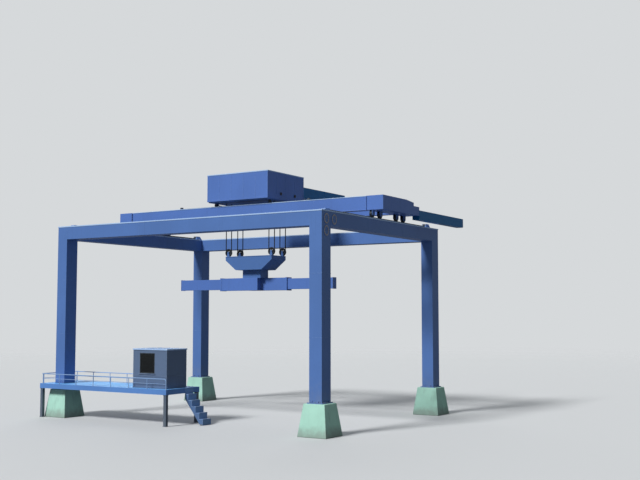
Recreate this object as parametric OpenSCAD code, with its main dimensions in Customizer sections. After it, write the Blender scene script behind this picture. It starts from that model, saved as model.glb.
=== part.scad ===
// Overhead bridge container crane on a fixed portal frame.
// Four legs on tapered concrete blocks carry a ring of top beams. A bridge runs front to back on
// two of the beams, a trolley with a machine house runs along the bridge, and its ropes carry a
// head block and a telescopic spreader. A cabin stands on a low platform at the front left leg.
// Millimetres, +Z up, +X to the right along the front, -Y to the front.

/* [Portal frame] */
// Length of the frame over its legs, side to side
frame_l = 19850; // [19000:50:21500]
// Width of the frame over its legs, front to back
frame_w = 14400; // [13800:50:15500]
// Height of the frame's top above the ground
frame_h = 12000; // [11600:50:12800]
// Side to side size of a leg
leg_l = 790; // [700:10:860]
// Front to back size of a leg
leg_w = 910; // [820:10:980]
// Depth of a top beam, with its cap plate
beam_h = 840; // [700:10:950]
// Thickness of the cap plates along the top of the frame
cap_t = 70; // [40:5:100]
// How far a cap plate stands out beyond the beam
cap_lip = 18; // [8:2:30]
// Thickness of the base plate under a leg
base_plate_t = 50; // [30:5:80]
// How far a base plate stands out around its leg
base_plate_lip = 90; // [50:10:120]
// Thickness of the stiffeners between a leg and its base plate
gusset_t = 20; // [12:1:28]
// Distance between the two stiffeners on each side of a leg
gusset_pitch = 400; // [300:10:480]
// Height of a stiffener's toe, and its distance from the base plate's edge
gusset_toe = 15; // [8:1:25]
// Gap between the stiffeners' heads and the platform above them
gusset_gap = 20; // [10:5:40]

/* [Concrete blocks] */
// Side to side size of a block at the ground
block_base_l = 1800; // [1600:20:2000]
// Front to back size of a block at the ground
block_base_w = 1710; // [1600:20:1900]
// Side to side size of a block at its top
block_top_l = 1320; // [1200:20:1500]
// Front to back size of a block at its top
block_top_w = 1230; // [1200:10:1400]
// Height of a block
block_h = 1730; // [1500:10:1850]

/* [Runway] */
// Distance from the frame's side face to the middle of the runway rail
rail_inset = 400; // [380:5:420]
// Height of a runway rail
rail_h = 120; // [100:5:140]
// Width of the head of a runway rail
rail_head_w = 90; // [70:5:100]
// Width of the foot of a runway rail
rail_foot_w = 180; // [140:10:200]
// Thickness of the foot of a runway rail, beside its web
rail_foot_t = 24; // [16:2:30]
// Thickness of the foot of a runway rail, at its edges
rail_foot_edge = 14; // [8:1:16]
// Thickness of the head of a runway rail, at its sides
rail_head_t = 36; // [28:2:42]
// How much thicker the head is beside the web
rail_head_drop = 10; // [4:1:14]
// Size of the broken corners on top of the head
rail_head_corner = 6; // [2:1:10]
// Thickness of the web of a runway rail
rail_web_t = 36; // [20:2:50]
// Distance from the frame's front or back face to the outer end of a rail stop
stop_inset = 600; // [500:20:700]
// Length of a rail stop along the rail
stop_l = 650; // [500:10:750]
// Width of a rail stop
stop_w = 300; // [240:10:360]
// Height of a rail stop
stop_h = 250; // [220:10:280]
// Height of the lower stops at the front ends of the rails
front_stop_h = 150; // [140:5:220]
// Length of the sloping outer side of a rail stop
stop_slope = 260; // [200:10:320]

/* [Bridge] */
// How far the bridge reaches beyond each side face of the frame
bridge_overhang = 445; // [400:5:500]
// Distance from the frame's front face to the front of the parked bridge
bridge_y = 6030; // [5800:10:6300]
// Height of the bridge girders, with their top plates
girder_h = 850; // [750:10:950]
// Thickness of a girder, front to back
girder_w = 540; // [480:10:600]
// Distance between the middles of the two girders
girder_gauge = 2900; // [2800:10:3000]
// Thickness of the top plates along the girders
girder_cap_t = 40; // [25:5:60]
// Thickness of the bottom plate of a girder
girder_foot_t = 30; // [20:5:50]
// How far a girder's side plates are set back behind its top and bottom plates
girder_set_back = 20; // [10:2:30]
// Side to side size of an end carriage
carriage_l = 1100; // [1000:10:1200]
// Length of the full height part of an end carriage, front to back
carriage_w = 3985; // [3800:10:4100]
// Length of the low tail behind the full height part
carriage_tail_w = 755; // [650:10:850]
// How much lower the tail's top is than the girders' top
carriage_tail_drop = 300; // [250:10:350]
// Length of the sloping end of the carriage's top
carriage_slope_w = 980; // [800:20:1100]
// Drop of the sloping end of the carriage's top
carriage_slope_h = 95; // [60:5:140]
// Length of the arm behind the right end of the bridge
bridge_arm_l = 6700; // [5500:50:7200]
// Height of the bridge arm
bridge_arm_h = 580; // [450:10:650]
// Thickness of the bridge arm, side to side
bridge_arm_w = 480; // [400:10:520]
// Height of the bridge arm's underside above the frame's top
bridge_arm_z = 300; // [290:10:350]

/* [Bridge wheels] */
// Radius of a bridge wheel's tread
wheel_r = 185; // [170:1:190]
// How far the flanges stand out beyond the tread
flange_h = 20; // [12:1:24]
// Thickness of a wheel flange
flange_t = 20; // [12:1:26]
// How much thinner a flange is at its edge
flange_taper = 6; // [0:1:8]
// Radius of a bridge wheel's hub
wheel_hub_r = 75; // [60:1:85]
// Thickness of a bridge wheel's web
wheel_web_t = 60; // [46:2:80]
// Thickness of a bridge wheel's rim under the tread
wheel_rim_t = 35; // [25:1:45]
// Gap on each side between a flange and the rail head
flange_gap = 5; // [5:0.5:8]
// Gap between the wheel flanges and the underside of the carriage
wheel_top_gap = 20; // [10:1:30]
// Distance from the carriage's middle to an inner wheel
wheel_inner_y = 1030; // [950:10:1080]
// Distance from the carriage's middle to an outer wheel
wheel_outer_y = 1980; // [1900:10:2050]
// Radius of a wheel's axle
axle_r = 40; // [30:1:45]
// Thickness of a bracket plate beside a wheel
cheek_t = 40; // [30:1:50]
// Length of a bracket plate along the rail
cheek_w = 300; // [260:10:340]
// Gap between a wheel's side and its bracket plate
cheek_gap = 8; // [6:0.5:12]
// How far a bracket plate reaches below the middle of the axle
cheek_drop = 95; // [80:5:120]
// Size of the cut corners at the bottom of a bracket plate
cheek_corner = 50; // [20:5:60]
// How far an axle stands out of its bracket plate
axle_end = 12; // [6:1:20]

/* [Trolley] */
// Length of the machine house, side to side
house_l = 4770; // [4600:10:5000]
// Width of the machine house, front to back
house_w = 4110; // [3900:10:4300]
// Height of the machine house with its roof plate
house_h = 1750; // [1600:10:1900]
// Thickness of the roof plate
house_roof_t = 60; // [40:5:90]
// How far the roof plate stands out around the house
house_roof_lip = 20; // [10:2:40]
// Thickness of the bed plate under the house
bed_t = 60; // [40:5:80]
// How far the bed plate stays inside the house's walls
bed_inset = 60; // [40:10:100]
// Radius of a trolley wheel's tread
trolley_wheel_r = 82; // [74:1:90]
// How far the flanges of a trolley wheel stand out beyond the tread
trolley_flange_h = 14; // [8:1:18]
// Thickness of a trolley wheel's flange
trolley_flange_t = 14; // [8:1:18]
// How much thinner a trolley wheel's flange is at its edge
trolley_flange_taper = 4; // [0:1:6]
// Gap on each side between a trolley wheel's flange and the rail
trolley_flange_gap = 5; // [5:0.5:8]
// Height of a trolley rail
trolley_rail_h = 45; // [35:5:60]
// Width of a trolley rail
trolley_rail_w = 70; // [50:5:80]
// Distance from the trolley's middle to an axle
trolley_axle_x = 2140; // [2080:10:2180]
// Radius of a trolley axle
trolley_axle_r = 32; // [25:1:38]
// Gap between the flanges of the trolley wheels and the bed plate
bed_gap = 14; // [6:1:20]
// Size of a bearing block along the rail
bearing_l = 150; // [120:5:180]
// Thickness of a bearing block along the axle
bearing_w = 110; // [90:5:130]
// Gap between a bearing block and its wheel
bearing_gap = 40; // [20:5:60]
// Metal left under the axle in a bearing block
bearing_drop = 25; // [15:1:35]
// Travel of the trolley to each side of the middle
trolley_travel = 2700; // [2400:50:2800]
// Length of a trolley stop along the rail
trolley_stop_l = 160; // [120:10:200]
// Height of a trolley stop
trolley_stop_h = 140; // [110:5:160]
// Gap between a wheel and its stop at the end of the travel
trolley_stop_gap = 30; // [10:5:60]
// Length of the arm behind the machine house
house_arm_l = 5350; // [4800:50:6000]
// Height of the house arm
house_arm_h = 720; // [600:10:800]
// Thickness of the house arm, side to side
house_arm_w = 480; // [400:10:550]
// Height of the house arm's underside above the house's floor
house_arm_z = 370; // [300:10:450]
// Radius of a round vent on the house's right side
vent_r = 95; // [80:5:120]
// Wall of a vent pipe
vent_wall = 27; // [15:1:35]
// Length of a vent pipe
vent_l = 40; // [30:2:60]
// Depth of the hollow in a vent pipe
vent_depth = 28; // [20:1:29]
// Height of a vent's middle above the house's floor
vent_z = 380; // [300:10:480]
// Distance between the two vents
vent_pitch = 1600; // [1400:20:1800]
// How far the vents' middle lies behind the house's middle
vent_back = 200; // [0:10:400]

/* [Hoist] */
// Radius of a rope
rope_r = 32; // [20:1:36]
// Radius of the rope's middle line on a sheave
sheave_r = 215; // [190:5:240]
// Thickness of a sheave
sheave_w = 90; // [80:2:110]
// How far a sheave's rim stands out beyond the rope's middle line
sheave_rim = 40; // [36:1:48]
// Play of the rope in its groove, on each side
groove_play = 1; // [0.5:0.5:3]
// How much the groove widens towards the rim, on each side
groove_flare = 6; // [3:1:8]
// Gap between a sheave's rim and the head block
sheave_floor_gap = 6; // [5:1:12]
// Radius of a sheave's hub
sheave_hub_r = 58; // [50:1:64]
// Thickness of a sheave's web
sheave_web_t = 40; // [30:2:60]
// Thickness of a sheave's rim under the rope
sheave_rim_t = 22; // [16:1:26]
// Round holes through a sheave's web
sheave_holes = 6; // [4:1:8]
// Radius of those holes
sheave_hole_r = 28; // [16:1:32]
// Radius of a sheave's pin
sheave_pin_r = 30; // [22:1:36]
// Distance from the head block's middle to a sheave, side to side
sheave_x = 1710; // [1650:10:1720]
// Distance from the head block's middle to a sheave, front to back
sheave_y = 620; // [560:5:680]
// Thickness of a sheave bracket plate
sheave_cheek_t = 24; // [16:2:30]
// Metal left around a sheave's pin in its bracket plate
sheave_cheek_rim = 45; // [30:5:60]
// How far the foot of a bracket plate stands out beyond its round head
sheave_cheek_foot = 25; // [0:5:40]
// Gap between a sheave's side and its bracket plate
sheave_gap = 6; // [5:0.5:8]
// Length of the head block at its top
head_top_l = 3660; // [3500:20:3800]
// Length of the head block at its bottom
head_base_l = 2040; // [1900:20:2300]
// Width of the head block, front to back
head_w = 1600; // [1500:10:1800]
// Height of the head block
head_h = 890; // [800:10:1000]
// Height of the head block's upright ends
head_end_h = 250; // [180:10:320]
// Thickness of the plate on top of the head block
head_plate_t = 40; // [25:5:60]
// How far that plate reaches beyond the head block, front and rear
head_plate_lip = 20; // [10:5:40]
// Height of the head block's top above the ground, parked
head_z = 10170; // [10000:10:10300]

/* [Spreader] */
// Length of the neck under the head block
neck_l = 1420; // [1200:10:1600]
// Width of the neck, front to back
neck_w = 860; // [760:10:980]
// Height of the neck
neck_h = 520; // [460:10:560]
// Reach of a spreader arm from the middle, drawn out
arm_reach = 5860; // [5700:10:6000]
// Length of a spreader arm
arm_l = 6340; // [6200:10:6450]
// Height of a spreader arm
arm_h = 680; // [600:10:720]
// Thickness of a spreader arm
arm_w = 400; // [340:10:440]
// Wall of the guide sleeve around an arm
sleeve_t = 50; // [40:2:60]
// Gap between an arm and its sleeve
sleeve_gap = 12; // [8:1:16]
// Length of a guide sleeve
sleeve_l = 3000; // [2800:20:3200]
// How far a sleeve reaches past the spreader's middle
sleeve_past = 530; // [500:10:560]
// Length of a wear pad in a sleeve
pad_l = 200; // [120:10:300]
// Width of a wear pad in a sleeve
pad_w = 240; // [160:10:300]
// Length of the collar around a sleeve's mouth
collar_l = 120; // [80:10:180]
// How far the collar stands out around the sleeve
collar_lip = 20; // [10:2:30]
// Thickness of the plate on the outer end of an arm
arm_end_t = 30; // [20:5:40]
// How far that plate stands out around the arm
arm_end_lip = 20; // [10:2:30]

/* [Platform] */
// How far the deck reaches to the left of the frame's side face
deck_left = 650; // [500:10:700]
// Length of the deck, side to side
deck_l = 10400; // [10000:50:10800]
// How far the deck reaches in front of the legs
deck_front = 660; // [600:10:720]
// Width of the deck, front to back
deck_w = 3000; // [2850:10:3150]
// Height of the deck's top above the ground
deck_z = 2100; // [2050:10:2200]
// Height of the beams around the deck's edge, up to its top
deck_edge_h = 300; // [240:10:310]
// Thickness of the deck inside that edge, over its plate and joists
deck_t = 160; // [120:10:180]
// Thickness of the deck's plate
deck_plate_t = 15; // [10:1:25]
// Thickness of the edge beams and joists under the plate
deck_beam_t = 60; // [40:5:80]
// Bays between the joists, side to side
deck_bays = 8; // [6:1:9]
// Bays between the joists, front to back
deck_rows = 2; // [1:1:3]
// Gap between the deck and the leg that passes through it
deck_leg_gap = 15; // [5:5:40]
// Size of a platform post
post_w = 190; // [160:5:200]
// Size of the plates under and on top of a post
post_foot_w = 240; // [220:5:250]
// Thickness of the plates under and on top of a post
post_foot_t = 20; // [15:1:30]
// Height of the guard rail above the deck
rail_top = 620; // [560:10:700]
// Distance from the deck's edge to the middle of the guard rail
rail_edge = 60; // [60:5:90]
// Diameter of the guard rail's top tube
rail_tube = 50; // [46:1:60]
// Diameter of the guard rail's posts
rail_post = 42; // [36:1:44]
// Diameter of the guard rail's middle tube
rail_mid_tube = 30; // [20:2:34]
// Radius of the bends, at the middle of the tube
rail_bend = 150; // [100:5:200]
// Radius of the round flange under a guard rail post
rail_flange_r = 55; // [45:1:60]
// Thickness of that flange
rail_flange_t = 10; // [6:1:14]
// Bays of the front guard rail
rail_bays = 7; // [5:1:9]
// Bays of the rear guard rail
rail_rear_bays = 6; // [4:1:8]
// Distance from the deck's right edge to the end of the rear guard rail
rail_rear_end = 1400; // [1300:50:1800]
// Bays of the side guard rail
rail_side_bays = 2; // [1:1:3]

/* [Stair] */
// Steps between the ground and the deck
risers = 6; // [5:1:7]
// Step forward from one tread to the next
stair_run = 275; // [250:5:320]
// Width of the stair
stair_w = 760; // [700:10:850]
// Distance from the deck's back edge to the stair
stair_inset = 570; // [450:10:650]
// Thickness of the plate that each step is folded from
step_t = 12; // [8:1:16]
// How far a tread stands out in front of its riser
step_nose = 25; // [10:5:40]
// Gap between a riser and the tread below it
step_gap = 3; // [2:1:6]
// Thickness of a side plate
stringer_t = 16; // [10:2:30]
// Depth of a side plate below the steps' front edges, measured upright
stringer_h = 620; // [560:10:680]

/* [Cabin] */
// Length of the cabin, side to side
cabin_l = 2600; // [2400:10:2800]
// Width of the cabin, front to back
cabin_w = 1750; // [1700:10:1800]
// Height of the cabin over its roof
cabin_h = 2300; // [2200:10:2400]
// Distance from the deck's right edge to the cabin
cabin_inset = 350; // [300:10:400]
// Distance from the deck's front edge to the cabin
cabin_front = 440; // [400:10:480]
// Thickness of a cabin wall
cabin_wall_t = 80; // [60:5:100]
// Thickness of the cabin roof
cabin_roof_t = 80; // [60:5:100]
// How far the roof stands out around the cabin
cabin_roof_lip = 40; // [20:5:60]
// Width of the window
window_w = 1160; // [1000:10:1250]
// Height of the window
window_h = 1190; // [1000:10:1250]
// Distance from the cabin's left side to the window
window_x = 510; // [450:10:600]
// Height of the window's sill above the deck
window_z = 855; // [800:10:900]
// Width of the window's frame bars
window_bar = 50; // [40:2:70]
// How far the window frame sits behind the wall's face
window_set_back = 10; // [0:2:20]
// Thickness of the window glass
glass_t = 12; // [8:1:16]
// Width of the door
door_w = 800; // [700:10:900]
// Height of the door
door_h = 1950; // [1900:10:2000]
// Thickness of the door leaf
door_t = 45; // [35:5:55]
// Distance from the door's edges to its sunk panels
door_stile = 110; // [80:5:140]
// Depth of the sunk panels
door_panel_depth = 10; // [4:1:15]
// Height of the lower panel
door_panel_h = 760; // [600:10:850]
// Radius of the door's round handle
handle_r = 18; // [12:1:24]
// How far the handle stands out of the door
handle_l = 40; // [30:2:60]
// Distance from the handle to the door's edge
handle_inset = 60; // [40:5:75]

/* [Hatches] */
// Width of an oval hatch cover
hatch_w = 470; // [400:10:500]
// Height of an oval hatch cover
hatch_h = 560; // [500:10:600]
// Width of the raised rim of a hatch
hatch_rim = 60; // [40:5:80]
// How far a hatch's rim stands out
hatch_t = 25; // [15:1:35]
// How far a hatch's cover stands out
hatch_cover_t = 10; // [6:1:14]
// Height of the upper hatches above the middle of the beam
hatch_rise = 30; // [0:5:60]
// Gap between the upper and the lower hatch
hatch_gap = 90; // [60:5:150]
// Distance from the leg to the middle of the hatch beside it
hatch_beam_y = 352; // [300:1:400]

/* [Hidden] */

// Clearance of a shaft in its hole, all round
running_gap = 0.1;
// Clearance between two faces that slide or roll on each other
seat_gap = 0.3;

// Places along X are measured from the frame's middle, along Y from its front face
half_l = frame_l / 2;
rail_x = half_l - rail_inset;
rail_y0 = stop_inset + stop_l;
rail_y1 = frame_w - stop_inset - stop_l;
beam_z = frame_h - beam_h;
girder_top = frame_h + rail_h + 2 * wheel_r + seat_gap + flange_h + wheel_top_gap + girder_h;
girder_z0 = girder_top - girder_h;
bridge_half = half_l + bridge_overhang;
girder_half = bridge_half - carriage_l;
girder_y_front = bridge_y + girder_w / 2;
girder_y_rear = girder_y_front + girder_gauge;
carriage_end = bridge_y + carriage_w + carriage_tail_w;
wheel_mid_y = bridge_y + wheel_outer_y + wheel_r;
wheel_z = frame_h + rail_h + wheel_r + seat_gap;
wheel_half = rail_head_w / 2 + flange_gap + flange_t;
trolley_y = (girder_y_front + girder_y_rear) / 2;
trolley_rail_z = girder_top;
trolley_axle_z = trolley_rail_z + trolley_rail_h + trolley_wheel_r + seat_gap;
trolley_wheel_half = trolley_rail_w / 2 + trolley_flange_gap + trolley_flange_t;
bed_z = trolley_axle_z + trolley_wheel_r + trolley_flange_h + bed_gap;
house_z = bed_z + bed_t;
house_top = house_z + house_h;
trolley_stop_x = trolley_axle_x + trolley_wheel_r + trolley_flange_h + trolley_travel + trolley_stop_gap;
sheave_z = head_z + sheave_r + sheave_rim + sheave_floor_gap;
sheave_half = sheave_w / 2;
neck_top = head_z - head_h;
head_plate_half = head_w / 2 + head_plate_lip;
sleeve_h = arm_h + 2 * (sleeve_gap + sleeve_t);
sleeve_w = arm_w + 2 * (sleeve_gap + sleeve_t);
sleeve_top = neck_top - neck_h;
sleeve_z = sleeve_top - sleeve_h / 2;
deck_x0 = -half_l - deck_left;
deck_x1 = deck_x0 + deck_l;
deck_y0 = -deck_front;
deck_y1 = deck_y0 + deck_w;
cabin_x1 = deck_x1 - cabin_inset;
cabin_x0 = cabin_x1 - cabin_l;
cabin_y0 = deck_y0 + cabin_front;
cabin_y1 = cabin_y0 + cabin_w;
cabin_wall_h = cabin_h - cabin_roof_t;
stair_y1 = deck_y1 - stair_inset;
stair_y0 = stair_y1 - stair_w;
riser_h = deck_z / risers;
post_h = deck_z - deck_edge_h;
gusset_top = deck_z - deck_t - block_h - gusset_gap;

// The whole object's middle goes to the origin
widest_half = max(bridge_half, leg_x(1) + block_base_l / 2);
whole_x0 = min(deck_x0, -widest_half);
whole_x1 = widest_half;
whole_y0 = deck_y0;
whole_y1 = carriage_end + bridge_arm_l;

module place() {
  translate([-(whole_x0 + whole_x1) / 2, -(whole_y0 + whole_y1) / 2, 0]) children();
}

// A box between two corners
module span(a, b) {
  translate(a) cube(b - a);
}

// A cylinder along X or along Y, with its middle at p
module rod_x(p, r, l) {
  translate(p) rotate([0, 90, 0]) cylinder(r = r, h = l, center = true, $fn = 48);
}

module rod_y(p, r, l) {
  translate(p) rotate([90, 0, 0]) cylinder(r = r, h = l, center = true, $fn = 48);
}

// Middle of a leg on side sx (-1 left, 1 right) and end sy (-1 front, 1 rear)
function leg_x(sx) = sx * (half_l - leg_l / 2);
function leg_y(sy) = frame_w / 2 + sy * (frame_w - leg_w) / 2;

// Upright bar with its narrower top, centred on the origin, as deep as d along Y
module taper(base, top, h, d) {
  rotate([90, 0, 0]) translate([0, 0, -d / 2]) linear_extrude(d)
    polygon([[-base / 2, 0], [base / 2, 0], [top / 2, h], [-top / 2, h]]);
}

// Concrete blocks that narrow towards the top on all four sides
module blocks() {
  color("#b4e3d2") place() for (sx = [-1, 1], sy = [-1, 1])
    translate([leg_x(sx), leg_y(sy), 0]) intersection() {
      taper(block_base_l, block_top_l, block_h, 2 * block_base_w);
      rotate([0, 0, 90]) taper(block_base_w, block_top_w, block_h, 2 * block_base_l);
    }
}

// Stiffener on a base plate, from a leg's side at the origin out along +X
module gusset() {
  toe_x = base_plate_lip - gusset_toe;
  translate([0, gusset_t / 2, 0]) rotate([90, 0, 0]) linear_extrude(gusset_t)
    polygon([[-gusset_t, base_plate_t / 2], [toe_x, base_plate_t / 2], [toe_x, base_plate_t + gusset_toe],
             [gusset_toe, gusset_top], [-gusset_t, gusset_top]]);
}

// Box legs, each with its base plate and two stiffeners on each side
module legs() {
  color("#5078ae") place() for (sx = [-1, 1], sy = [-1, 1])
    translate([leg_x(sx), leg_y(sy), block_h]) {
      translate([-leg_l / 2, -leg_w / 2, 0]) cube([leg_l, leg_w, frame_h - cap_t - block_h]);
      translate([-leg_l / 2 - base_plate_lip, -leg_w / 2 - base_plate_lip, 0])
        cube([leg_l + 2 * base_plate_lip, leg_w + 2 * base_plate_lip, base_plate_t]);
      for (side = [0:3], s = [-1, 1]) rotate([0, 0, 90 * side])
        translate([(side % 2 == 0 ? leg_l : leg_w) / 2, s * gusset_pitch / 2, 0]) gusset();
    }
}

module beam_across(sy) {
  x = half_l - leg_l;
  color("#5078ae") place()
    span([-x, leg_y(sy) - leg_w / 2, beam_z], [x, leg_y(sy) + leg_w / 2, frame_h - cap_t]);
}

module beam_along(sx) {
  color("#5078ae") place()
    span([leg_x(sx) - leg_l / 2, leg_w, beam_z], [leg_x(sx) + leg_l / 2, frame_w - leg_w, frame_h - cap_t]);
}

// Pale cap plates, mitred into one ring along the top of the frame
module frame_cap_plates() {
  z0 = frame_h - cap_t;
  color("#a9c9f2") place() difference() {
    span([-half_l - cap_lip, -cap_lip, z0], [half_l + cap_lip, frame_w + cap_lip, frame_h]);
    span([-half_l + leg_l + cap_lip, leg_w + cap_lip, z0 - 1],
         [half_l - leg_l - cap_lip, frame_w - leg_w - cap_lip, frame_h + 1]);
  }
}

// A side given from bottom to top, then its mirror image from top to bottom
function both_sides(side) = concat(side, [for (i = [len(side) - 1:-1:0]) [-side[i][0], side[i][1]]]);

// Rail section with a broad foot that thins to its edges, a web, and a head with broken corners
module rail_section() {
  polygon(both_sides([[rail_foot_w / 2, 0], [rail_foot_w / 2, rail_foot_edge], [rail_web_t / 2, rail_foot_t],
                      [rail_web_t / 2, rail_h - rail_head_t - rail_head_drop],
                      [rail_head_w / 2, rail_h - rail_head_t], [rail_head_w / 2, rail_h - rail_head_corner],
                      [rail_head_w / 2 - rail_head_corner, rail_h]]));
}

module runway_rails() {
  color("#4a5560") place() for (sx = [-1, 1])
    translate([sx * rail_x, rail_y1, frame_h]) rotate([90, 0, 0])
      linear_extrude(rail_y1 - rail_y0) rail_section();
}

// Stops with a sloping outer side, one at each end of each rail
module rail_stops() {
  color("#6f92c8") place() for (sx = [-1, 1], end = [[0, front_stop_h], [1, stop_h]])
    translate([sx * rail_x, end[0] * frame_w, frame_h]) mirror([0, end[0], 0])
      translate([stop_w / 2, 0, 0]) rotate([90, 0, -90])
        linear_extrude(stop_w)
          polygon([[-stop_inset, 0], [-stop_inset - stop_slope, end[1]],
                   [-rail_y0, end[1]], [-rail_y0, 0]]);
}

// Oval hatch: a raised rim around a flat cover
module hatch() {
  inner_w = hatch_w - 2 * hatch_rim;
  inner_h = hatch_h - 2 * hatch_rim;
  rotate([90, 0, 90]) difference() {
    linear_extrude(hatch_t) scale([1, hatch_h / hatch_w]) circle(d = hatch_w, $fn = 40);
    translate([0, 0, hatch_cover_t]) linear_extrude(hatch_t)
      scale([1, inner_h / inner_w]) circle(d = inner_w, $fn = 40);
  }
}

module corner_hatches() {
  y_leg = leg_w / 2;
  y_beam = leg_w + hatch_beam_y;
  z_top = frame_h - cap_t - beam_h / 2 + hatch_rise;
  z_low = z_top - hatch_h - hatch_gap;
  color("#a08c6c") place() for (p = [[y_leg, z_top], [y_beam, z_top], [y_leg, z_low]])
    translate([half_l, p[0], p[1]]) hatch();
}

// Hollows under the deck: one inside the edge beams, and one between each pair of joists
module deck_hollows() {
  span([deck_x0 + deck_beam_t, deck_y0 + deck_beam_t, deck_z - deck_edge_h - 1],
       [deck_x1 - deck_beam_t, deck_y1 - deck_beam_t, deck_z - deck_t]);
  pitch_x = (deck_l - deck_beam_t) / deck_bays;
  pitch_y = (deck_w - deck_beam_t) / deck_rows;
  for (i = [0:deck_bays - 1], j = [0:deck_rows - 1])
    span([deck_x0 + deck_beam_t + i * pitch_x, deck_y0 + deck_beam_t + j * pitch_y, deck_z - deck_t - 1],
         [deck_x0 + (i + 1) * pitch_x, deck_y0 + (j + 1) * pitch_y, deck_z - deck_plate_t]);
}

// Plate on edge beams and joists, with a trimmed hole where the leg passes through
module platform_deck() {
  g = deck_leg_gap;
  b = deck_leg_gap + deck_beam_t;
  z0 = deck_z - deck_edge_h;
  color("#7daadc") place() difference() {
    span([deck_x0, deck_y0, z0], [deck_x1, deck_y1, deck_z]);
    span([-half_l - g, -g, z0 - 1], [-half_l + leg_l + g, leg_w + g, deck_z + 1]);
    difference() {
      deck_hollows();
      span([-half_l - b, -b, deck_z - deck_t], [-half_l + leg_l + b, leg_w + b, deck_z + 1]);
    }
  }
}

module platform_posts() {
  e = post_foot_w / 2;
  color("#52606f") place()
    for (x = [deck_x0 + e, deck_x1 - e], y = [deck_y0 + e, deck_y1 - e]) {
      span([x - post_w / 2, y - post_w / 2, 0], [x + post_w / 2, y + post_w / 2, post_h]);
      for (z = [0, post_h - post_foot_t]) span([x - e, y - e, z], [x + e, y + e, z + post_foot_t]);
    }
}

// Quarter bend of a round tube, from the X axis to the Y axis
module tube_bend(d) {
  rotate_extrude(angle = 90, $fn = 48) translate([rail_bend, 0]) circle(d = d, $fn = 24);
}

module tube_x(d, l) {
  rotate([0, 90, 0]) cylinder(d = d, h = l, $fn = 24);
}

// Guard rail post with its round flange on the deck
module guard_post() {
  cylinder(d = rail_post, h = rail_top - rail_tube / 2, $fn = 24);
  cylinder(r = rail_flange_r, h = rail_flange_t, $fn = 32);
}

// Guard rail of length l along X. Its top tube bends down into the last post at the right end, and
// both tubes turn the left corner towards side (1 rear, -1 front).
module long_guard_rail(side, l, bays) {
  z = rail_top - rail_tube / 2;
  turn = side > 0 ? 180 : 90;
  translate([rail_bend, 0, z]) tube_x(rail_tube, l - 2 * rail_bend);
  translate([l - rail_bend, 0, z - rail_bend]) rotate([90, 0, 0]) tube_bend(rail_tube);
  translate([l, 0, 0]) cylinder(d = rail_tube, h = z - rail_bend, $fn = 24);
  translate([l, 0, 0]) cylinder(r = rail_flange_r, h = rail_flange_t, $fn = 32);
  translate([rail_bend, 0, rail_top / 2]) tube_x(rail_mid_tube, l - rail_bend);
  translate([rail_bend, side * rail_bend, z]) rotate([0, 0, turn]) tube_bend(rail_tube);
  translate([rail_bend, side * rail_bend, rail_top / 2]) rotate([0, 0, turn]) tube_bend(rail_mid_tube);
  for (i = [0:bays - 1]) translate([rail_bend + i * (l - rail_bend) / bays, 0, 0]) guard_post();
}

module guard_rail_front() {
  color("#93b4dd") place() translate([deck_x0 + rail_edge, deck_y0 + rail_edge, deck_z])
    long_guard_rail(1, deck_l - 2 * rail_edge, rail_bays);
}

module guard_rail_rear() {
  color("#93b4dd") place() translate([deck_x0 + rail_edge, deck_y1 - rail_edge, deck_z])
    long_guard_rail(-1, deck_l - rail_edge - rail_rear_end, rail_rear_bays);
}

// Short guard rail between the two corner bends
module guard_rail_left() {
  l = deck_w - 2 * (rail_edge + rail_bend);
  color("#93b4dd") place()
    translate([deck_x0 + rail_edge, deck_y0 + rail_edge + rail_bend, deck_z]) rotate([0, 0, 90]) {
      translate([0, 0, rail_top - rail_tube / 2]) tube_x(rail_tube, l);
      translate([0, 0, rail_top / 2]) tube_x(rail_mid_tube, l);
      for (i = [0:rail_side_bays])
        translate([rail_post + i * (l - 2 * rail_post) / rail_side_bays, 0, 0]) guard_post();
    }
}

// Front of the riser of step i, counted from the ground
function riser_x(i) = deck_x1 + (risers - i) * stair_run - step_nose;

// Back edge of the tread of step i
function step_back(i) = max(deck_x1, riser_x(i + 1) - step_t);

// Steps folded from plate, each a tread with its riser. The top one is also folded up against the
// deck's edge beam.
module stair_treads() {
  t = step_t;
  color("#8fb4e0") place() translate([0, stair_y1, 0]) rotate([90, 0, 0]) linear_extrude(stair_w) {
    for (i = [1:risers - 1]) {
      x = riser_x(i);
      z = i * riser_h;
      foot = z - riser_h + (i > 1 ? step_gap : 0);
      polygon([[x, foot], [x, z - t], [x + step_nose, z - t], [x + step_nose, z],
               [step_back(i), z], [step_back(i), z - t], [x - t, z - t], [x - t, foot]]);
    }
    translate([deck_x1, deck_z - riser_h - t]) square([t, riser_h + t - deck_plate_t]);
  }
}

// Side plates, stepped along the top to carry the steps and sloping along the underside
module stair_sides() {
  t = step_t;
  steps = [for (i = [risers - 1:-1:1], x = [step_back(i), riser_x(i) - t]) [x, i * riser_h - t]];
  back = deck_x1 + (deck_z - stringer_h) * stair_run / riser_h;
  color("#8fb4e0") place() for (y = [stair_y0, stair_y1 - stringer_t])
    translate([0, y + stringer_t, 0]) rotate([90, 0, 0]) linear_extrude(stringer_t)
      polygon(concat([[deck_x1, deck_z - stringer_h]], steps, [[riser_x(1) - t, 0], [back, 0]]));
}

module cabin_front_wall() {
  z0 = deck_z;
  color("#697d9f") place() difference() {
    span([cabin_x0, cabin_y0, z0], [cabin_x1, cabin_y0 + cabin_wall_t, z0 + cabin_wall_h]);
    span([cabin_x0 + window_x, cabin_y0 - 1, z0 + window_z],
         [cabin_x0 + window_x + window_w, cabin_y0 + cabin_wall_t + 1, z0 + window_z + window_h]);
  }
}

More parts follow.
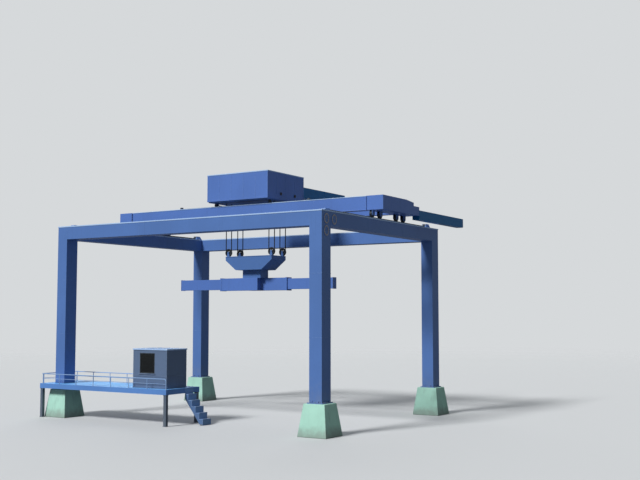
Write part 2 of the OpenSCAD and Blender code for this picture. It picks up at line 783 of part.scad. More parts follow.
module cabin_rear_wall() {
  z0 = deck_z;
  xm = (cabin_x0 + cabin_x1) / 2;
  color("#697d9f") place() difference() {
    span([cabin_x0, cabin_y1 - cabin_wall_t, z0], [cabin_x1, cabin_y1, z0 + cabin_wall_h]);
    span([xm - door_w / 2, cabin_y1 - cabin_wall_t - 1, z0 - 1],
         [xm + door_w / 2, cabin_y1 + 1, z0 + door_h]);
  }
}

module cabin_side_wall(x) {
  color("#697d9f") place()
    span([x, cabin_y0 + cabin_wall_t, deck_z],
         [x + cabin_wall_t, cabin_y1 - cabin_wall_t, deck_z + cabin_wall_h]);
}

module cabin_roof() {
  z0 = deck_z + cabin_wall_h;
  e = cabin_roof_lip;
  color("#a9c9f2") place()
    span([cabin_x0 - e, cabin_y0 - e, z0], [cabin_x1 + e, cabin_y1 + e, z0 + cabin_roof_t]);
}

// Frame bars seated inside the window opening
module window_frame() {
  x0 = cabin_x0 + window_x;
  z0 = deck_z + window_z;
  y0 = cabin_y0 + window_set_back;
  y1 = cabin_y0 + cabin_wall_t;
  b = window_bar;
  color("#2c3338") place() difference() {
    span([x0, y0, z0], [x0 + window_w, y1, z0 + window_h]);
    span([x0 + b, y0 - 1, z0 + b], [x0 + window_w - b, y1 + 1, z0 + window_h - b]);
  }
}

module window_glass() {
  x0 = cabin_x0 + window_x + window_bar;
  z0 = deck_z + window_z + window_bar;
  y0 = cabin_y0 + cabin_wall_t / 2;
  color("#101214") place()
    span([x0, y0, z0], [x0 + window_w - 2 * window_bar, y0 + glass_t, z0 + window_h - 2 * window_bar]);
}

// Door leaf on the deck in its doorway, with two sunk panels and a round handle
module cabin_door() {
  xm = (cabin_x0 + cabin_x1) / 2;
  panel = door_w / 2 - door_stile;
  z_lower = deck_z + door_stile;
  z_upper = z_lower + door_panel_h + door_stile;
  color("#5b6f8f") place() {
    difference() {
      span([xm - door_w / 2, cabin_y1 - door_t, deck_z], [xm + door_w / 2, cabin_y1, deck_z + door_h]);
      for (z = [[z_lower, z_lower + door_panel_h], [z_upper, deck_z + door_h - door_stile]])
        span([xm - panel, cabin_y1 - door_panel_depth, z[0]], [xm + panel, cabin_y1 + 1, z[1]]);
    }
    rod_y([xm + door_w / 2 - handle_inset, cabin_y1 + handle_l / 2, deck_z + door_h / 2],
          handle_r, handle_l);
  }
}

// Box girder: side plates set back on a bottom plate
module girder(y) {
  web = girder_w / 2 - girder_set_back;
  color("#557abc") place() {
    span([-girder_half, y - girder_w / 2, girder_z0],
         [girder_half, y + girder_w / 2, girder_z0 + girder_foot_t]);
    span([-girder_half, y - web, girder_z0], [girder_half, y + web, girder_top - girder_cap_t]);
  }
}

module girder_top_plates() {
  color("#a9c9f2") place() for (y = [girder_y_front, girder_y_rear])
    span([-girder_half, y - girder_w / 2, girder_top - girder_cap_t],
         [girder_half, y + girder_w / 2, girder_top]);
}

// End carriage: full height at the front, a sloping shoulder, then a low tail
module carriage(sx) {
  y1 = bridge_y + carriage_w;
  color("#557abc") place()
    translate([sx > 0 ? girder_half : -bridge_half, 0, 0]) rotate([90, 0, 90])
      linear_extrude(carriage_l)
        polygon([[bridge_y, girder_z0], [carriage_end, girder_z0],
                 [carriage_end, girder_top - carriage_tail_drop],
                 [y1, girder_top - carriage_tail_drop],
                 [y1, girder_top - carriage_slope_h],
                 [y1 - carriage_slope_w, girder_top],
                 [bridge_y, girder_top]]);
}

// Middle of each bridge wheel: 1 to 4 on the right from front to rear, 5 to 8 on the left
wheel_ys = [for (d = [-wheel_outer_y, -wheel_inner_y, wheel_inner_y, wheel_outer_y]) wheel_mid_y + d];
wheel_places = [for (sx = [1, -1], y = wheel_ys) [sx * rail_x, y, wheel_z]];

// Two bracket plates beside each wheel, with cut lower corners, drilled for its axle
module wheel_brackets() {
  w = cheek_w / 2;
  c = cheek_corner;
  color("#46699f") place() for (p = wheel_places, s = [-1, 1]) {
    x = p[0] + s * (wheel_half + cheek_gap + cheek_t / 2);
    difference() {
      translate([x - cheek_t / 2, p[1], wheel_z]) rotate([90, 0, 90]) linear_extrude(cheek_t)
        polygon(both_sides([[w - c, -cheek_drop], [w, c - cheek_drop], [w, girder_z0 - wheel_z]]));
      rod_x([x, p[1], wheel_z], axle_r + running_gap, cheek_t + 2);
    }
  }
}

// Turned profile: one half given from the axis outwards and back to the middle, then its mirror image
function both_halves(half) = concat(half, [for (i = [len(half) - 1:-1:0]) [half[i][0], -half[i][1]]]);

// Flanged wheel with a hub, a web and a rim, turned in one piece with its axle
module bridge_wheel(i) {
  tread_half = rail_head_w / 2 + flange_gap;
  axle_half = wheel_half + cheek_gap + cheek_t + axle_end;
  rim_r = wheel_r - wheel_rim_t;
  color("#2e3338") place() translate(wheel_places[i]) rotate([0, 90, 0]) rotate_extrude($fn = 48)
    polygon(both_halves([[0, axle_half], [axle_r, axle_half], [axle_r, wheel_half],
                         [wheel_hub_r, wheel_half], [wheel_hub_r, wheel_web_t / 2],
                         [rim_r, wheel_web_t / 2], [rim_r, wheel_half], [wheel_r + flange_h, wheel_half],
                         [wheel_r + flange_h, tread_half + flange_taper], [wheel_r, tread_half]]));
}

// Rails for the trolley on both girders, each closed by a stop at both ends
module trolley_rails() {
  color("#4a5560") place() for (y = [girder_y_front, girder_y_rear]) {
    span([-trolley_stop_x, y - trolley_rail_w / 2, girder_top],
         [trolley_stop_x, y + trolley_rail_w / 2, girder_top + trolley_rail_h]);
    for (s = [-1, 1]) translate([s * (trolley_stop_x + trolley_stop_l / 2), y, girder_top])
      translate([-trolley_stop_l / 2, -trolley_rail_w, 0])
        cube([trolley_stop_l, 2 * trolley_rail_w, trolley_stop_h]);
  }
}

// Arm that reaches to the rear from the right end of the bridge
module bridge_arm() {
  z = frame_h + bridge_arm_z;
  color("#244059") place()
    span([bridge_half - bridge_arm_w, carriage_end, z],
         [bridge_half, carriage_end + bridge_arm_l, z + bridge_arm_h]);
}

// Bed plate under the house, with four bearing blocks hung under it
module trolley_bed() {
  x = house_l / 2 - bed_inset;
  y = house_w / 2 - bed_inset;
  y_block = girder_gauge / 2 - trolley_wheel_half - bearing_gap - bearing_w / 2;
  color("#46699f") place() translate([0, trolley_y, 0]) {
    span([-x, -y, bed_z], [x, y, house_z]);
    for (sx = [-1, 1], sy = [-1, 1]) difference() {
      span([sx * trolley_axle_x - bearing_l / 2, sy * y_block - bearing_w / 2,
            trolley_axle_z - trolley_axle_r - bearing_drop],
           [sx * trolley_axle_x + bearing_l / 2, sy * y_block + bearing_w / 2, bed_z]);
      rod_y([sx * trolley_axle_x, sy * y_block, trolley_axle_z],
            trolley_axle_r + running_gap, bearing_w + 2);
    }
  }
}

// Axle with a flanged wheel on each end
module wheelset(sx) {
  edge_r = trolley_wheel_r + trolley_flange_h;
  tread_half = trolley_wheel_half - trolley_flange_t;
  color("#2e3338") place() translate([sx * trolley_axle_x, trolley_y, trolley_axle_z]) {
    rod_y([0, 0, 0], trolley_axle_r, girder_gauge);
    for (s = [-1, 1]) translate([0, s * girder_gauge / 2, 0]) rotate([90, 0, 0]) rotate_extrude($fn = 48)
      polygon(both_halves([[0, trolley_wheel_half], [edge_r, trolley_wheel_half],
                           [edge_r, tread_half + trolley_flange_taper], [trolley_wheel_r, tread_half]]));
  }
}

module machine_house() {
  color("#547ab8") place()
    span([-house_l / 2, trolley_y - house_w / 2, house_z],
         [house_l / 2, trolley_y + house_w / 2, house_top - house_roof_t]);
}

module house_roof() {
  e = house_roof_lip;
  color("#a9c9f2") place()
    span([-house_l / 2 - e, trolley_y - house_w / 2 - e, house_top - house_roof_t],
         [house_l / 2 + e, trolley_y + house_w / 2 + e, house_top]);
}

// Two short round vent pipes on the right side of the house
module house_vents() {
  color("#20262b") place() for (s = [-1, 1])
    translate([house_l / 2, trolley_y + vent_back + s * vent_pitch / 2, house_z + vent_z])
      rotate([0, 90, 0]) difference() {
        cylinder(r = vent_r, h = vent_l, $fn = 40);
        translate([0, 0, vent_l - vent_depth]) cylinder(r = vent_r - vent_wall, h = vent_l, $fn = 40);
      }
}

module house_arm() {
  y = trolley_y + house_w / 2;
  z = house_z + house_arm_z;
  color("#244059") place()
    span([house_l / 2 - house_arm_w, y, z], [house_l / 2, y + house_arm_l, z + house_arm_h]);
}

// Middle of each sheave, seen from the head block
sheave_places = [for (sx = [-1, 1], sy = [-1, 1]) [sx * sheave_x, trolley_y + sy * sheave_y, sheave_z]];

// Two falls of rope from each sheave up to the bed plate
module hoist_ropes() {
  color("#15181b") place() for (p = sheave_places, s = [-1, 1])
    translate([p[0] + s * sheave_r, p[1], p[2]])
      cylinder(r = rope_r, h = bed_z - p[2], $fn = 24);
}

// Half turn of rope under each sheave
module rope_loops() {
  color("#15181b") place() for (p = sheave_places)
    translate(p) rotate([90, 180, 0]) rotate_extrude(angle = 180, $fn = 48)
      translate([sheave_r, 0]) circle(r = rope_r, $fn = 24);
}

// Sheave with a round groove, a hub and a web with round holes, turned in one piece with its pin
module sheave(i) {
  groove = rope_r + groove_play;
  groove_r = sheave_r + groove_play - seat_gap;
  edge_r = sheave_r + sheave_rim;
  rim_r = groove_r - groove - sheave_rim_t;
  pin_half = sheave_half + sheave_gap + sheave_cheek_t;
  facet = 15;
  color("#1c2024") place() translate(sheave_places[i]) rotate([90, 0, 0]) difference() {
    rotate_extrude($fn = 48)
      polygon(both_halves(concat(
        [[0, pin_half], [sheave_pin_r, pin_half], [sheave_pin_r, sheave_half], [sheave_hub_r, sheave_half],
         [sheave_hub_r, sheave_web_t / 2], [rim_r, sheave_web_t / 2], [rim_r, sheave_half],
         [edge_r, sheave_half], [edge_r, groove + groove_flare]],
        [for (a = [90 - facet / 2:-facet:facet / 2])
          [groove_r, 0] + groove / cos(facet / 2) * [-cos(a), sin(a)]])));
    for (a = [0:360 / sheave_holes:359]) rotate([0, 0, a]) translate([(sheave_hub_r + rim_r) / 2, 0, 0])
      cylinder(r = sheave_hole_r, h = sheave_web_t + 2, center = true, $fn = 24);
  }
}

// Head block: an inverted trapezium with a plate on top that carries the brackets, and a neck under it
module head_block() {
  color("#47618f") place() {
    span([-head_top_l / 2, trolley_y - head_plate_half, head_z - head_plate_t],
         [head_top_l / 2, trolley_y + head_plate_half, head_z]);
    translate([0, trolley_y + head_w / 2, neck_top]) rotate([90, 0, 0]) linear_extrude(head_w)
      polygon([[-head_base_l / 2, 0], [head_base_l / 2, 0],
               [head_top_l / 2, head_h - head_end_h], [head_top_l / 2, head_h],
               [-head_top_l / 2, head_h], [-head_top_l / 2, head_h - head_end_h]]);
    span([-neck_l / 2, trolley_y - neck_w / 2, sleeve_top], [neck_l / 2, trolley_y + neck_w / 2, neck_top]);
  }
}

// Two upright plates beside each sheave, with a round head and a broader foot, drilled for its pin
module sheave_brackets() {
  c = sheave_cheek_t;
  head_r = sheave_pin_r + sheave_cheek_rim;
  rise = sheave_z - head_z;
  color("#3f5780") place() for (p = sheave_places, s = [-1, 1]) {
    y = p[1] + s * (sheave_half + sheave_gap + c / 2);
    difference() {
      union() {
        translate([p[0], y + c / 2, head_z]) rotate([90, 0, 0]) linear_extrude(c)
          polygon(both_sides([[head_r + sheave_cheek_foot, 0], [0.9 * head_r, rise]]));
        rod_y([p[0], y, sheave_z], head_r, c);
      }
      rod_y([p[0], y, sheave_z], sheave_pin_r + running_gap, c + 2);
    }
  }
}

// Two guide sleeves side by side: the front one holds the left arm, the rear one the right arm.
// A collar stiffens each mouth. Wear pads above and below the arm close the gap at both ends.
module guide_sleeves() {
  wy = arm_w / 2 + sleeve_gap;
  wz = arm_h / 2 + sleeve_gap;
  pad_z = arm_h / 2 + seat_gap;
  color("#5980c1") place() for (side = [-1, 1]) {
    y = trolley_y + side * sleeve_w / 2;
    x0 = side < 0 ? sleeve_past - sleeve_l : -sleeve_past;
    x1 = x0 + sleeve_l;
    collar_x = side < 0 ? x0 : x1 - collar_l;
    cy = sleeve_w / 2 + collar_lip;
    cz = sleeve_h / 2 + collar_lip;
    difference() {
      union() {
        span([x0, y - sleeve_w / 2, sleeve_z - sleeve_h / 2],
             [x1, y + sleeve_w / 2, sleeve_z + sleeve_h / 2]);
        span([collar_x, y - cy, sleeve_z - cz], [collar_x + collar_l, y + cy, sleeve_z + cz]);
      }
      span([x0 - 1, y - wy, sleeve_z - wz], [x1 + 1, y + wy, sleeve_z + wz]);
    }
    for (x = [x0, x1 - pad_l]) {
      span([x, y - pad_w / 2, sleeve_z + pad_z], [x + pad_l, y + pad_w / 2, sleeve_z + wz + 1]);
      span([x, y - pad_w / 2, sleeve_z - wz - 1], [x + pad_l, y + pad_w / 2, sleeve_z - pad_z]);
    }
  }
}

// Box arm that slides in its sleeve, with a plate on its outer end
module spreader_arm(side) {
  y = trolley_y + side * sleeve_w / 2;
  x_out = side * arm_reach;
  x_in = side * (arm_reach - arm_l);
  lip = arm_end_lip;
  color("#5980c1") place() {
    span([min(x_out, x_in), y - arm_w / 2, sleeve_z - arm_h / 2],
         [max(x_out, x_in), y + arm_w / 2, sleeve_z + arm_h / 2]);
    span([min(x_out, x_out - side * arm_end_t), y - arm_w / 2 - lip, sleeve_z - arm_h / 2 - lip],
         [max(x_out, x_out - side * arm_end_t), y + arm_w / 2 + lip, sleeve_z + arm_h / 2 + lip]);
  }
}

blocks();
legs();
beam_across(-1);  // beam_front
beam_across(1);  // beam_rear
beam_along(-1);  // beam_left
beam_along(1);  // beam_right
frame_cap_plates();
runway_rails();
rail_stops();
corner_hatches();
platform_deck();
platform_posts();
guard_rail_front();
guard_rail_left();
guard_rail_rear();
stair_treads();
stair_sides();
cabin_front_wall();
cabin_rear_wall();
cabin_side_wall(cabin_x0);  // cabin_left_wall
cabin_side_wall(cabin_x1 - cabin_wall_t);  // cabin_right_wall
cabin_roof();
window_frame();
window_glass();
cabin_door();
girder(girder_y_front);  // girder_front
girder(girder_y_rear);  // girder_rear
girder_top_plates();
carriage(-1);  // carriage_left
carriage(1);  // carriage_right
wheel_brackets();
trolley_rails();
bridge_arm();
bridge_wheel(0);  // wheel_1
bridge_wheel(1);  // wheel_2
bridge_wheel(2);  // wheel_3
bridge_wheel(3);  // wheel_4
bridge_wheel(4);  // wheel_5
bridge_wheel(5);  // wheel_6
bridge_wheel(6);  // wheel_7
bridge_wheel(7);  // wheel_8
trolley_bed();
machine_house();
house_roof();
house_vents();
house_arm();
wheelset(-1);  // wheelset_left
wheelset(1);  // wheelset_right
hoist_ropes();
head_block();
sheave_brackets();
rope_loops();
guide_sleeves();
sheave(0);  // sheave_1
sheave(1);  // sheave_2
sheave(2);  // sheave_3
sheave(3);  // sheave_4
spreader_arm(-1);  // spreader_arm_left
spreader_arm(1);  // spreader_arm_right
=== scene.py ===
import math

import bpy
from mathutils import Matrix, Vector


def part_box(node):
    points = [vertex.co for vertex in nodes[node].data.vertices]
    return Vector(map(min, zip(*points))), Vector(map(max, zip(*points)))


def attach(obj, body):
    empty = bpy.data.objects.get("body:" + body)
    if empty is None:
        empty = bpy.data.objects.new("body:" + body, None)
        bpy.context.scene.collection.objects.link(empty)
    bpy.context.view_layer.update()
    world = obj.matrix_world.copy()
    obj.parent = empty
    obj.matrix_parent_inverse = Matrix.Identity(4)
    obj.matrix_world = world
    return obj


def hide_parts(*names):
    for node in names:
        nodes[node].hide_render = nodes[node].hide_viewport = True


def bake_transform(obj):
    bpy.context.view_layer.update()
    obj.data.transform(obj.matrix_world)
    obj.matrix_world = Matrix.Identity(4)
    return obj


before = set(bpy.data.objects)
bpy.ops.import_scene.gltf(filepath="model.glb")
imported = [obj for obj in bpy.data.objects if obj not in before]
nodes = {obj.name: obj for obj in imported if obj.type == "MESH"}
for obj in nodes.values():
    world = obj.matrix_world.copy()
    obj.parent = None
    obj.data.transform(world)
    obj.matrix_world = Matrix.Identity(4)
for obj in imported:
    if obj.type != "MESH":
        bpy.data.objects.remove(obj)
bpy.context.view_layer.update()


# Foundation blocks: four tapered blocks of cast concrete with a coat of pale green masonry paint.
# The form's chamfer strip breaks their edges, the coat is rubbed thin there, and the yard has
# splashed the foot of each block grey.
BLOCK_GREEN = (176, 224, 206)
BARE_CONCRETE = (150, 150, 140)
SPLASH_GREY = (128, 132, 126)
BLOCK_CHAMFER = 0.03


def paint(colour, share=1.0):
    """A colour as it is read off a paint card, 0 to 255, or a share of its light, as the shader wants it."""
    shares = [share * part / 255 for part in colour]
    linear = [s / 12.92 if s <= 0.04045 else ((s + 0.055) / 1.055) ** 2.4 for s in shares]
    return (*linear, 1.0)


def add_node(tree, kind, inputs, **settings):
    """Adds a shader node and gives its outputs. Each input, by name or number, is a value or a socket."""
    made = tree.nodes.new("ShaderNode" + kind)
    for key, value in settings.items():
        setattr(made, key, value)
    for key, value in inputs.items():
        if isinstance(value, bpy.types.NodeSocket):
            tree.links.new(value, made.inputs[key])
        else:
            made.inputs[key].default_value = value
    return made.outputs


def new_group(name, inputs):
    """An empty node group with float inputs at their default values, which puts out one mask."""
    tree = bpy.data.node_groups.new(name, "ShaderNodeTree")
    for label, value in inputs.items():
        socket = tree.interface.new_socket(label, in_out="INPUT", socket_type="NodeSocketFloat")
        socket.default_value = value
    tree.interface.new_socket("Mask", in_out="OUTPUT", socket_type="NodeSocketFloat")
    return tree, tree.nodes.new("NodeGroupInput").outputs, tree.nodes.new("NodeGroupOutput").inputs["Mask"]


def math_node(tree, operation, first, second=0.0):
    return add_node(tree, "Math", {0: first, 1: second}, operation=operation)[0]


def smooth_range(tree, value, low, high):
    """0 below low, 1 above high, and a soft rise between them."""
    inputs = {"Value": value, "From Min": low, "From Max": high}
    return add_node(tree, "MapRange", inputs, interpolation_type="SMOOTHSTEP")[0]


def own_place(tree):
    """The shaded point on the piece's own coordinates, in metres."""
    return add_node(tree, "TexCoord", {})["Object"]


# Cloudy mask: noise on the piece's own coordinates, drawn out upwards by Stretch, between two levels
cloud_group, given, mask = new_group("cloudy mask", {"Scale": 1.0, "Stretch": 1.0, "Low": 0.4, "High": 0.6})
stretch = add_node(cloud_group, "CombineXYZ", {"X": 1.0, "Y": 1.0, "Z": given["Stretch"]})
place = add_node(cloud_group, "VectorMath", {0: own_place(cloud_group), 1: stretch[0]},
                 operation="MULTIPLY")
cloud = add_node(cloud_group, "TexNoise",
                 {"Vector": place[0], "Scale": given["Scale"], "Detail": 4.0, "Roughness": 0.55})
cloud_group.links.new(smooth_range(cloud_group, cloud["Fac"], given["Low"], given["High"]), mask)

# Edge wear: the strip along each outer edge where a rounded normal leaves the face's own, broken up by noise
wear_group, given, mask = new_group("edge wear", {"Width": 0.02, "Amount": 1.0})
rounded = add_node(wear_group, "Bevel", {"Radius": given["Width"]}, samples=4)[0]
flat = add_node(wear_group, "NewGeometry", {})["Normal"]
likeness = add_node(wear_group, "VectorMath", {0: rounded, 1: flat}, operation="DOT_PRODUCT")
edge = smooth_range(wear_group, math_node(wear_group, "SUBTRACT", 1.0, likeness["Value"]), 0.01, 0.12)
chips = add_node(wear_group, "TexNoise",
                 {"Vector": own_place(wear_group), "Scale": 7.0, "Detail": 5.0})
broken = math_node(wear_group, "MULTIPLY", edge, smooth_range(wear_group, chips["Fac"], 0.42, 0.58))
wear_group.links.new(math_node(wear_group, "MULTIPLY", broken, given["Amount"]), mask)

# Ground splash: dust and dried spray that thin out from the ground up to Height
splash_group, given, mask = new_group("ground splash", {"Height": 1.0, "Amount": 0.5})
place = own_place(splash_group)
height = add_node(splash_group, "SeparateXYZ", {0: place})["Z"]
ragged = add_node(splash_group, "TexNoise", {"Vector": place, "Scale": 3.0, "Detail": 5.0})
share = math_node(splash_group, "ADD", math_node(splash_group, "DIVIDE", height, given["Height"]),
                  math_node(splash_group, "MULTIPLY", ragged["Fac"], 0.9))
thin = math_node(splash_group, "SUBTRACT", 1.0, smooth_range(splash_group, share, 0.45, 1.45))
splash_group.links.new(math_node(splash_group, "MULTIPLY", thin, given["Amount"]), mask)


def use_group(tree, group, **values):
    """Places a shared group in a material with its own values and returns its mask."""
    made = tree.nodes.new("ShaderNodeGroup")
    made.node_tree = group
    for label, value in values.items():
        made.inputs[label.capitalize()].default_value = value
    return made.outputs["Mask"]


def mix_colour(tree, mask, first, second):
    inputs = {"Factor": mask, 6: first, 7: second}
    return add_node(tree, "Mix", inputs, data_type="RGBA")[2]


def clouds(tree, scale, low, high, stretch=1.0):
    return use_group(tree, cloud_group, scale=scale, low=low, high=high, stretch=stretch)


def clouded(tree, first, second, scale, low, high):
    """One colour with soft clouds of a second one."""
    return mix_colour(tree, clouds(tree, scale, low, high), first, second)


def new_material(name, roughness=0.5, metallic=0.0):
    """A material with its shader, empty of patterns."""
    material = bpy.data.materials.new(name)
    material.use_nodes = True
    shader = material.node_tree.nodes["Principled BSDF"].inputs
    shader["Roughness"].default_value = roughness
    shader["Metallic"].default_value = metallic
    return material, material.node_tree, shader


def set_relief(tree, shader, height, depth):
    """Sends a height pattern to the shader's normal, with its real depth in metres."""
    relief = add_node(tree, "Bump", {"Height": height, "Distance": depth, "Strength": 1.0})
    tree.links.new(relief[0], shader["Normal"])


def coat(material, *names, edge=0.0):
    """Gives CAD parts their finish. Where edge is given, their outer edges are rounded by that radius."""
    for name in names:
        for material_slot in nodes[name].material_slots:
            material_slot.material = material
        if edge:
            weld = nodes[name].modifiers.new("weld", "WELD")
            weld.merge_threshold = 0.0002
            bevel = nodes[name].modifiers.new("edges", "BEVEL")
            bevel.width = edge
            bevel.segments = 2
            bevel.limit_method = "ANGLE"


block_coat, tree, shader = new_material("green masonry paint", 0.85)
tone = clouded(tree, paint(BLOCK_GREEN), paint(BLOCK_GREEN, 0.93), 0.8, 0.3, 0.75)
washed = mix_colour(tree, clouds(tree, 2.4, 0.52, 0.8, stretch=0.25), tone, paint(BLOCK_GREEN, 0.84))
splashes = use_group(tree, splash_group, height=0.7, amount=0.65)
splashed = mix_colour(tree, splashes, washed, paint(SPLASH_GREY))
rubbed = mix_colour(tree, use_group(tree, wear_group, width=0.05, amount=0.8), splashed, paint(BARE_CONCRETE))
tree.links.new(rubbed, shader["Base Color"])
set_relief(tree, shader, clouds(tree, 38.0, 0.3, 0.62), 0.004)
coat(block_coat, "blocks", edge=BLOCK_CHAMFER)


# Legs: four box columns welded from plate, painted blue, each on a base plate with gussets.
# Anchor bolts go through the base plate into the block, and a ring of weld shows where the
# lengths of a column meet.
FRAME_BLUE = (84, 120, 182)
# Pale edge blue: worn paint, and in part a painted highlight along the edges.
WORN_HIGHLIGHT_BLUE = (126, 158, 206)
YARD_DUST = (140, 142, 138)
BASE_PLATE = 0.05
ANCHOR_NUT = 0.046
ANCHOR_STEP = 0.31
LEG_JOINTS = (5.2, 8.6)
SEAM_WIDTH = 0.03
SEAM_HEIGHT = 0.006
UP, DOWN = (0, 0, 0), (math.pi, 0, 0)
RIGHT, LEFT = (0, math.pi / 2, 0), (0, -math.pi / 2, 0)
FRONT, REAR = (math.pi / 2, 0, 0), (-math.pi / 2, 0, 0)
leg_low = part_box("legs")[0]
beam_low, beam_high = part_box("beam_front")


def painted_steel(name, colour, worn_and_highlight, roughness=0.48, streaks=0.5, splash=0.0):
    """Shop paint on steel: cloudy, streaked by rain, dusty low down and pale along its edges, partly rubbed
    paint and partly a painted highlight.
    """
    material, tree, shader = new_material(name)
    tone = clouded(tree, paint(colour), paint(colour, 0.95), 0.35, 0.3, 0.75)
    tone = clouded(tree, tone, paint(colour, 0.96), 5.0, 0.5, 0.8)
    run_share = math_node(tree, "MULTIPLY", clouds(tree, 7.0, 0.56, 0.9, stretch=0.06), streaks)
    tone = mix_colour(tree, run_share, tone, paint(colour, 0.8))
    if splash:
        dusty = use_group(tree, splash_group, height=3.2, amount=splash)
        tone = mix_colour(tree, dusty, tone, paint(YARD_DUST))
    # The pale colour along the edges is partly worn paint and partly a painted highlight on the edges.
    rubbed = mix_colour(tree, use_group(tree, wear_group, width=0.025, amount=0.85), tone, paint(worn_and_highlight))
    tree.links.new(rubbed, shader["Base Color"])
    dull = math_node(tree, "ADD", roughness, math_node(tree, "MULTIPLY", run_share, 0.25))
    tree.links.new(dull, shader["Roughness"])
    shader["Specular IOR Level"].default_value = 0.3
    set_relief(tree, shader, clouds(tree, 55.0, 0.2, 0.8), 0.0006)
    return material


def only(*pieces):
    """Selects these pieces and nothing else, with the first one active."""
    bpy.ops.object.select_all(action="DESELECT")
    for piece in pieces:
        piece.select_set(True)
    if pieces:
        bpy.context.view_layer.objects.active = pieces[0]


def pick(piece, kind, test):
    """Opens a piece in edit mode with only those faces or edges selected that pass the test."""
    only(piece)
    mesh = piece.data
    for parts in (mesh.vertices, mesh.edges, mesh.polygons):
        parts.foreach_set("select", [False] * len(parts))
    if kind == "FACE":
        for face in mesh.polygons:
            face.select = bool(test(face.center, face.normal))
    else:
        for edge in mesh.edges:
            start, end = (mesh.vertices[i].co for i in edge.vertices)
            edge.select = bool(test((start + end) / 2, (end - start).normalized()))
    bpy.context.tool_settings.mesh_select_mode = (False, kind == "EDGE", kind == "FACE")
    bpy.ops.object.mode_set(mode="EDIT")


def leave():
    bpy.ops.object.mode_set(mode="OBJECT")


def settle():
    """Puts the new primitive's object at the origin, with its place in its mesh."""
    piece = bpy.context.object
    only(piece)
    bpy.ops.object.transform_apply(location=True, rotation=True, scale=True)
    return piece


def break_edges(piece, radius, segments=2):
    """Takes the sharpness off every outer edge, as rolling or a grinder does."""
    bevel = piece.modifiers.new("edges", "BEVEL")
    bevel.width = radius
    bevel.segments = segments
    bevel.limit_method = "ANGLE"
    only(piece)
    bpy.ops.object.modifier_apply(modifier="edges")
    return piece


def bar(low, high, radius=0.003):
    """A plate or bar between two corners, with its edges broken."""
    low, high = Vector(low), Vector(high)
    only()
    bpy.ops.mesh.primitive_cube_add(size=1, location=(low + high) / 2, scale=high - low)
    return break_edges(settle(), radius)


def join(pieces):
    only(*pieces)
    bpy.ops.object.join()
    return settle()


def copies(pattern, places, turn=UP):
    """Sets a copy of the pattern at each place, all turned alike, and joins them. The pattern goes."""
    made = []
    for place in places:
        twin = pattern.copy()
        twin.data = pattern.data.copy()
        twin.location = place
        twin.rotation_euler = turn
        bpy.context.scene.collection.objects.link(twin)
        made.append(twin)
    bpy.data.objects.remove(pattern)
    return join(made)


def rod(start, end, radius, sides=16):
    """A round bar between two points, with its ends broken."""
    start, end = Vector(start), Vector(end)
    way = end - start
    only()
    bpy.ops.mesh.primitive_cylinder_add(vertices=sides, radius=radius, depth=way.length,
                                        location=(start + end) / 2,
                                        rotation=way.to_track_quat("Z", "Y").to_euler())
    piece = break_edges(settle(), radius * 0.12, 1)
    bpy.ops.object.shade_smooth_by_angle(angle=math.radians(35))
    return piece


def hex_bolt(across):
    """A hexagon nut on its washer with the end of the thread, standing on the origin."""
    parts = []
    for sides, radius, low, high in ((12, 0.95, 0, 0.16), (6, 0.577, 0.16, 0.7), (8, 0.3, 0.7, 0.95)):
        only()
        bpy.ops.mesh.primitive_cylinder_add(vertices=sides, radius=across * radius,
                                            depth=across * (high - low),
                                            location=(0, 0, across * (low + high) / 2))
        parts.append(settle())
        pick(parts[-1], "FACE", lambda centre, normal: normal.z > 0.9)
        bpy.ops.mesh.bevel(offset=across * 0.05, segments=1, affect="EDGES")
        leave()
    return join(parts)


def dress(name, pieces, material, body):
    """Joins new pieces, and gives the whole its name, its finish and, where one is given, its body."""
    piece = join(pieces)
    piece.name = piece.data.name = name
    piece.data.materials.clear()
    piece.data.materials.append(material)
    if body:
        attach(piece, body)
    return piece


galvanised, tree, shader = new_material("galvanised bolts", 0.5, 0.7)
spangle = clouded(tree, paint((122, 128, 132)), paint((158, 163, 166)), 90.0, 0.35, 0.65)
tree.links.new(clouded(tree, spangle, paint((120, 96, 76)), 14.0, 0.6, 0.8), shader["Base Color"])


def bolt_on(name, body, *rows):
    """Galvanised bolts as one piece: each row gives their size across, where they point and their places."""
    sets = [copies(hex_bolt(across), places, turn) for across, turn, places in rows]
    dress(name, sets, galvanised, body)


def weld_seam(low, high, along, place):
    """A ring of weld round a box section, where two lengths meet at a place along its axis."""
    low, high = Vector(low), Vector(high)
    low[along] = place - SEAM_WIDTH / 2
    high[along] = place + SEAM_WIDTH / 2
    only()
    bpy.ops.mesh.primitive_cube_add(size=1, location=(low + high) / 2, scale=high - low)
    ring = settle()
    pick(ring, "FACE", lambda centre, normal: abs(normal[along]) > 0.9)
    bpy.ops.mesh.delete(type="FACE")
    leave()
    thick = ring.modifiers.new("bead", "SOLIDIFY")
    thick.thickness = SEAM_HEIGHT
    thick.offset = 1
    only(ring)
    bpy.ops.object.modifier_apply(modifier="bead")
    return break_edges(ring, SEAM_HEIGHT * 0.7)


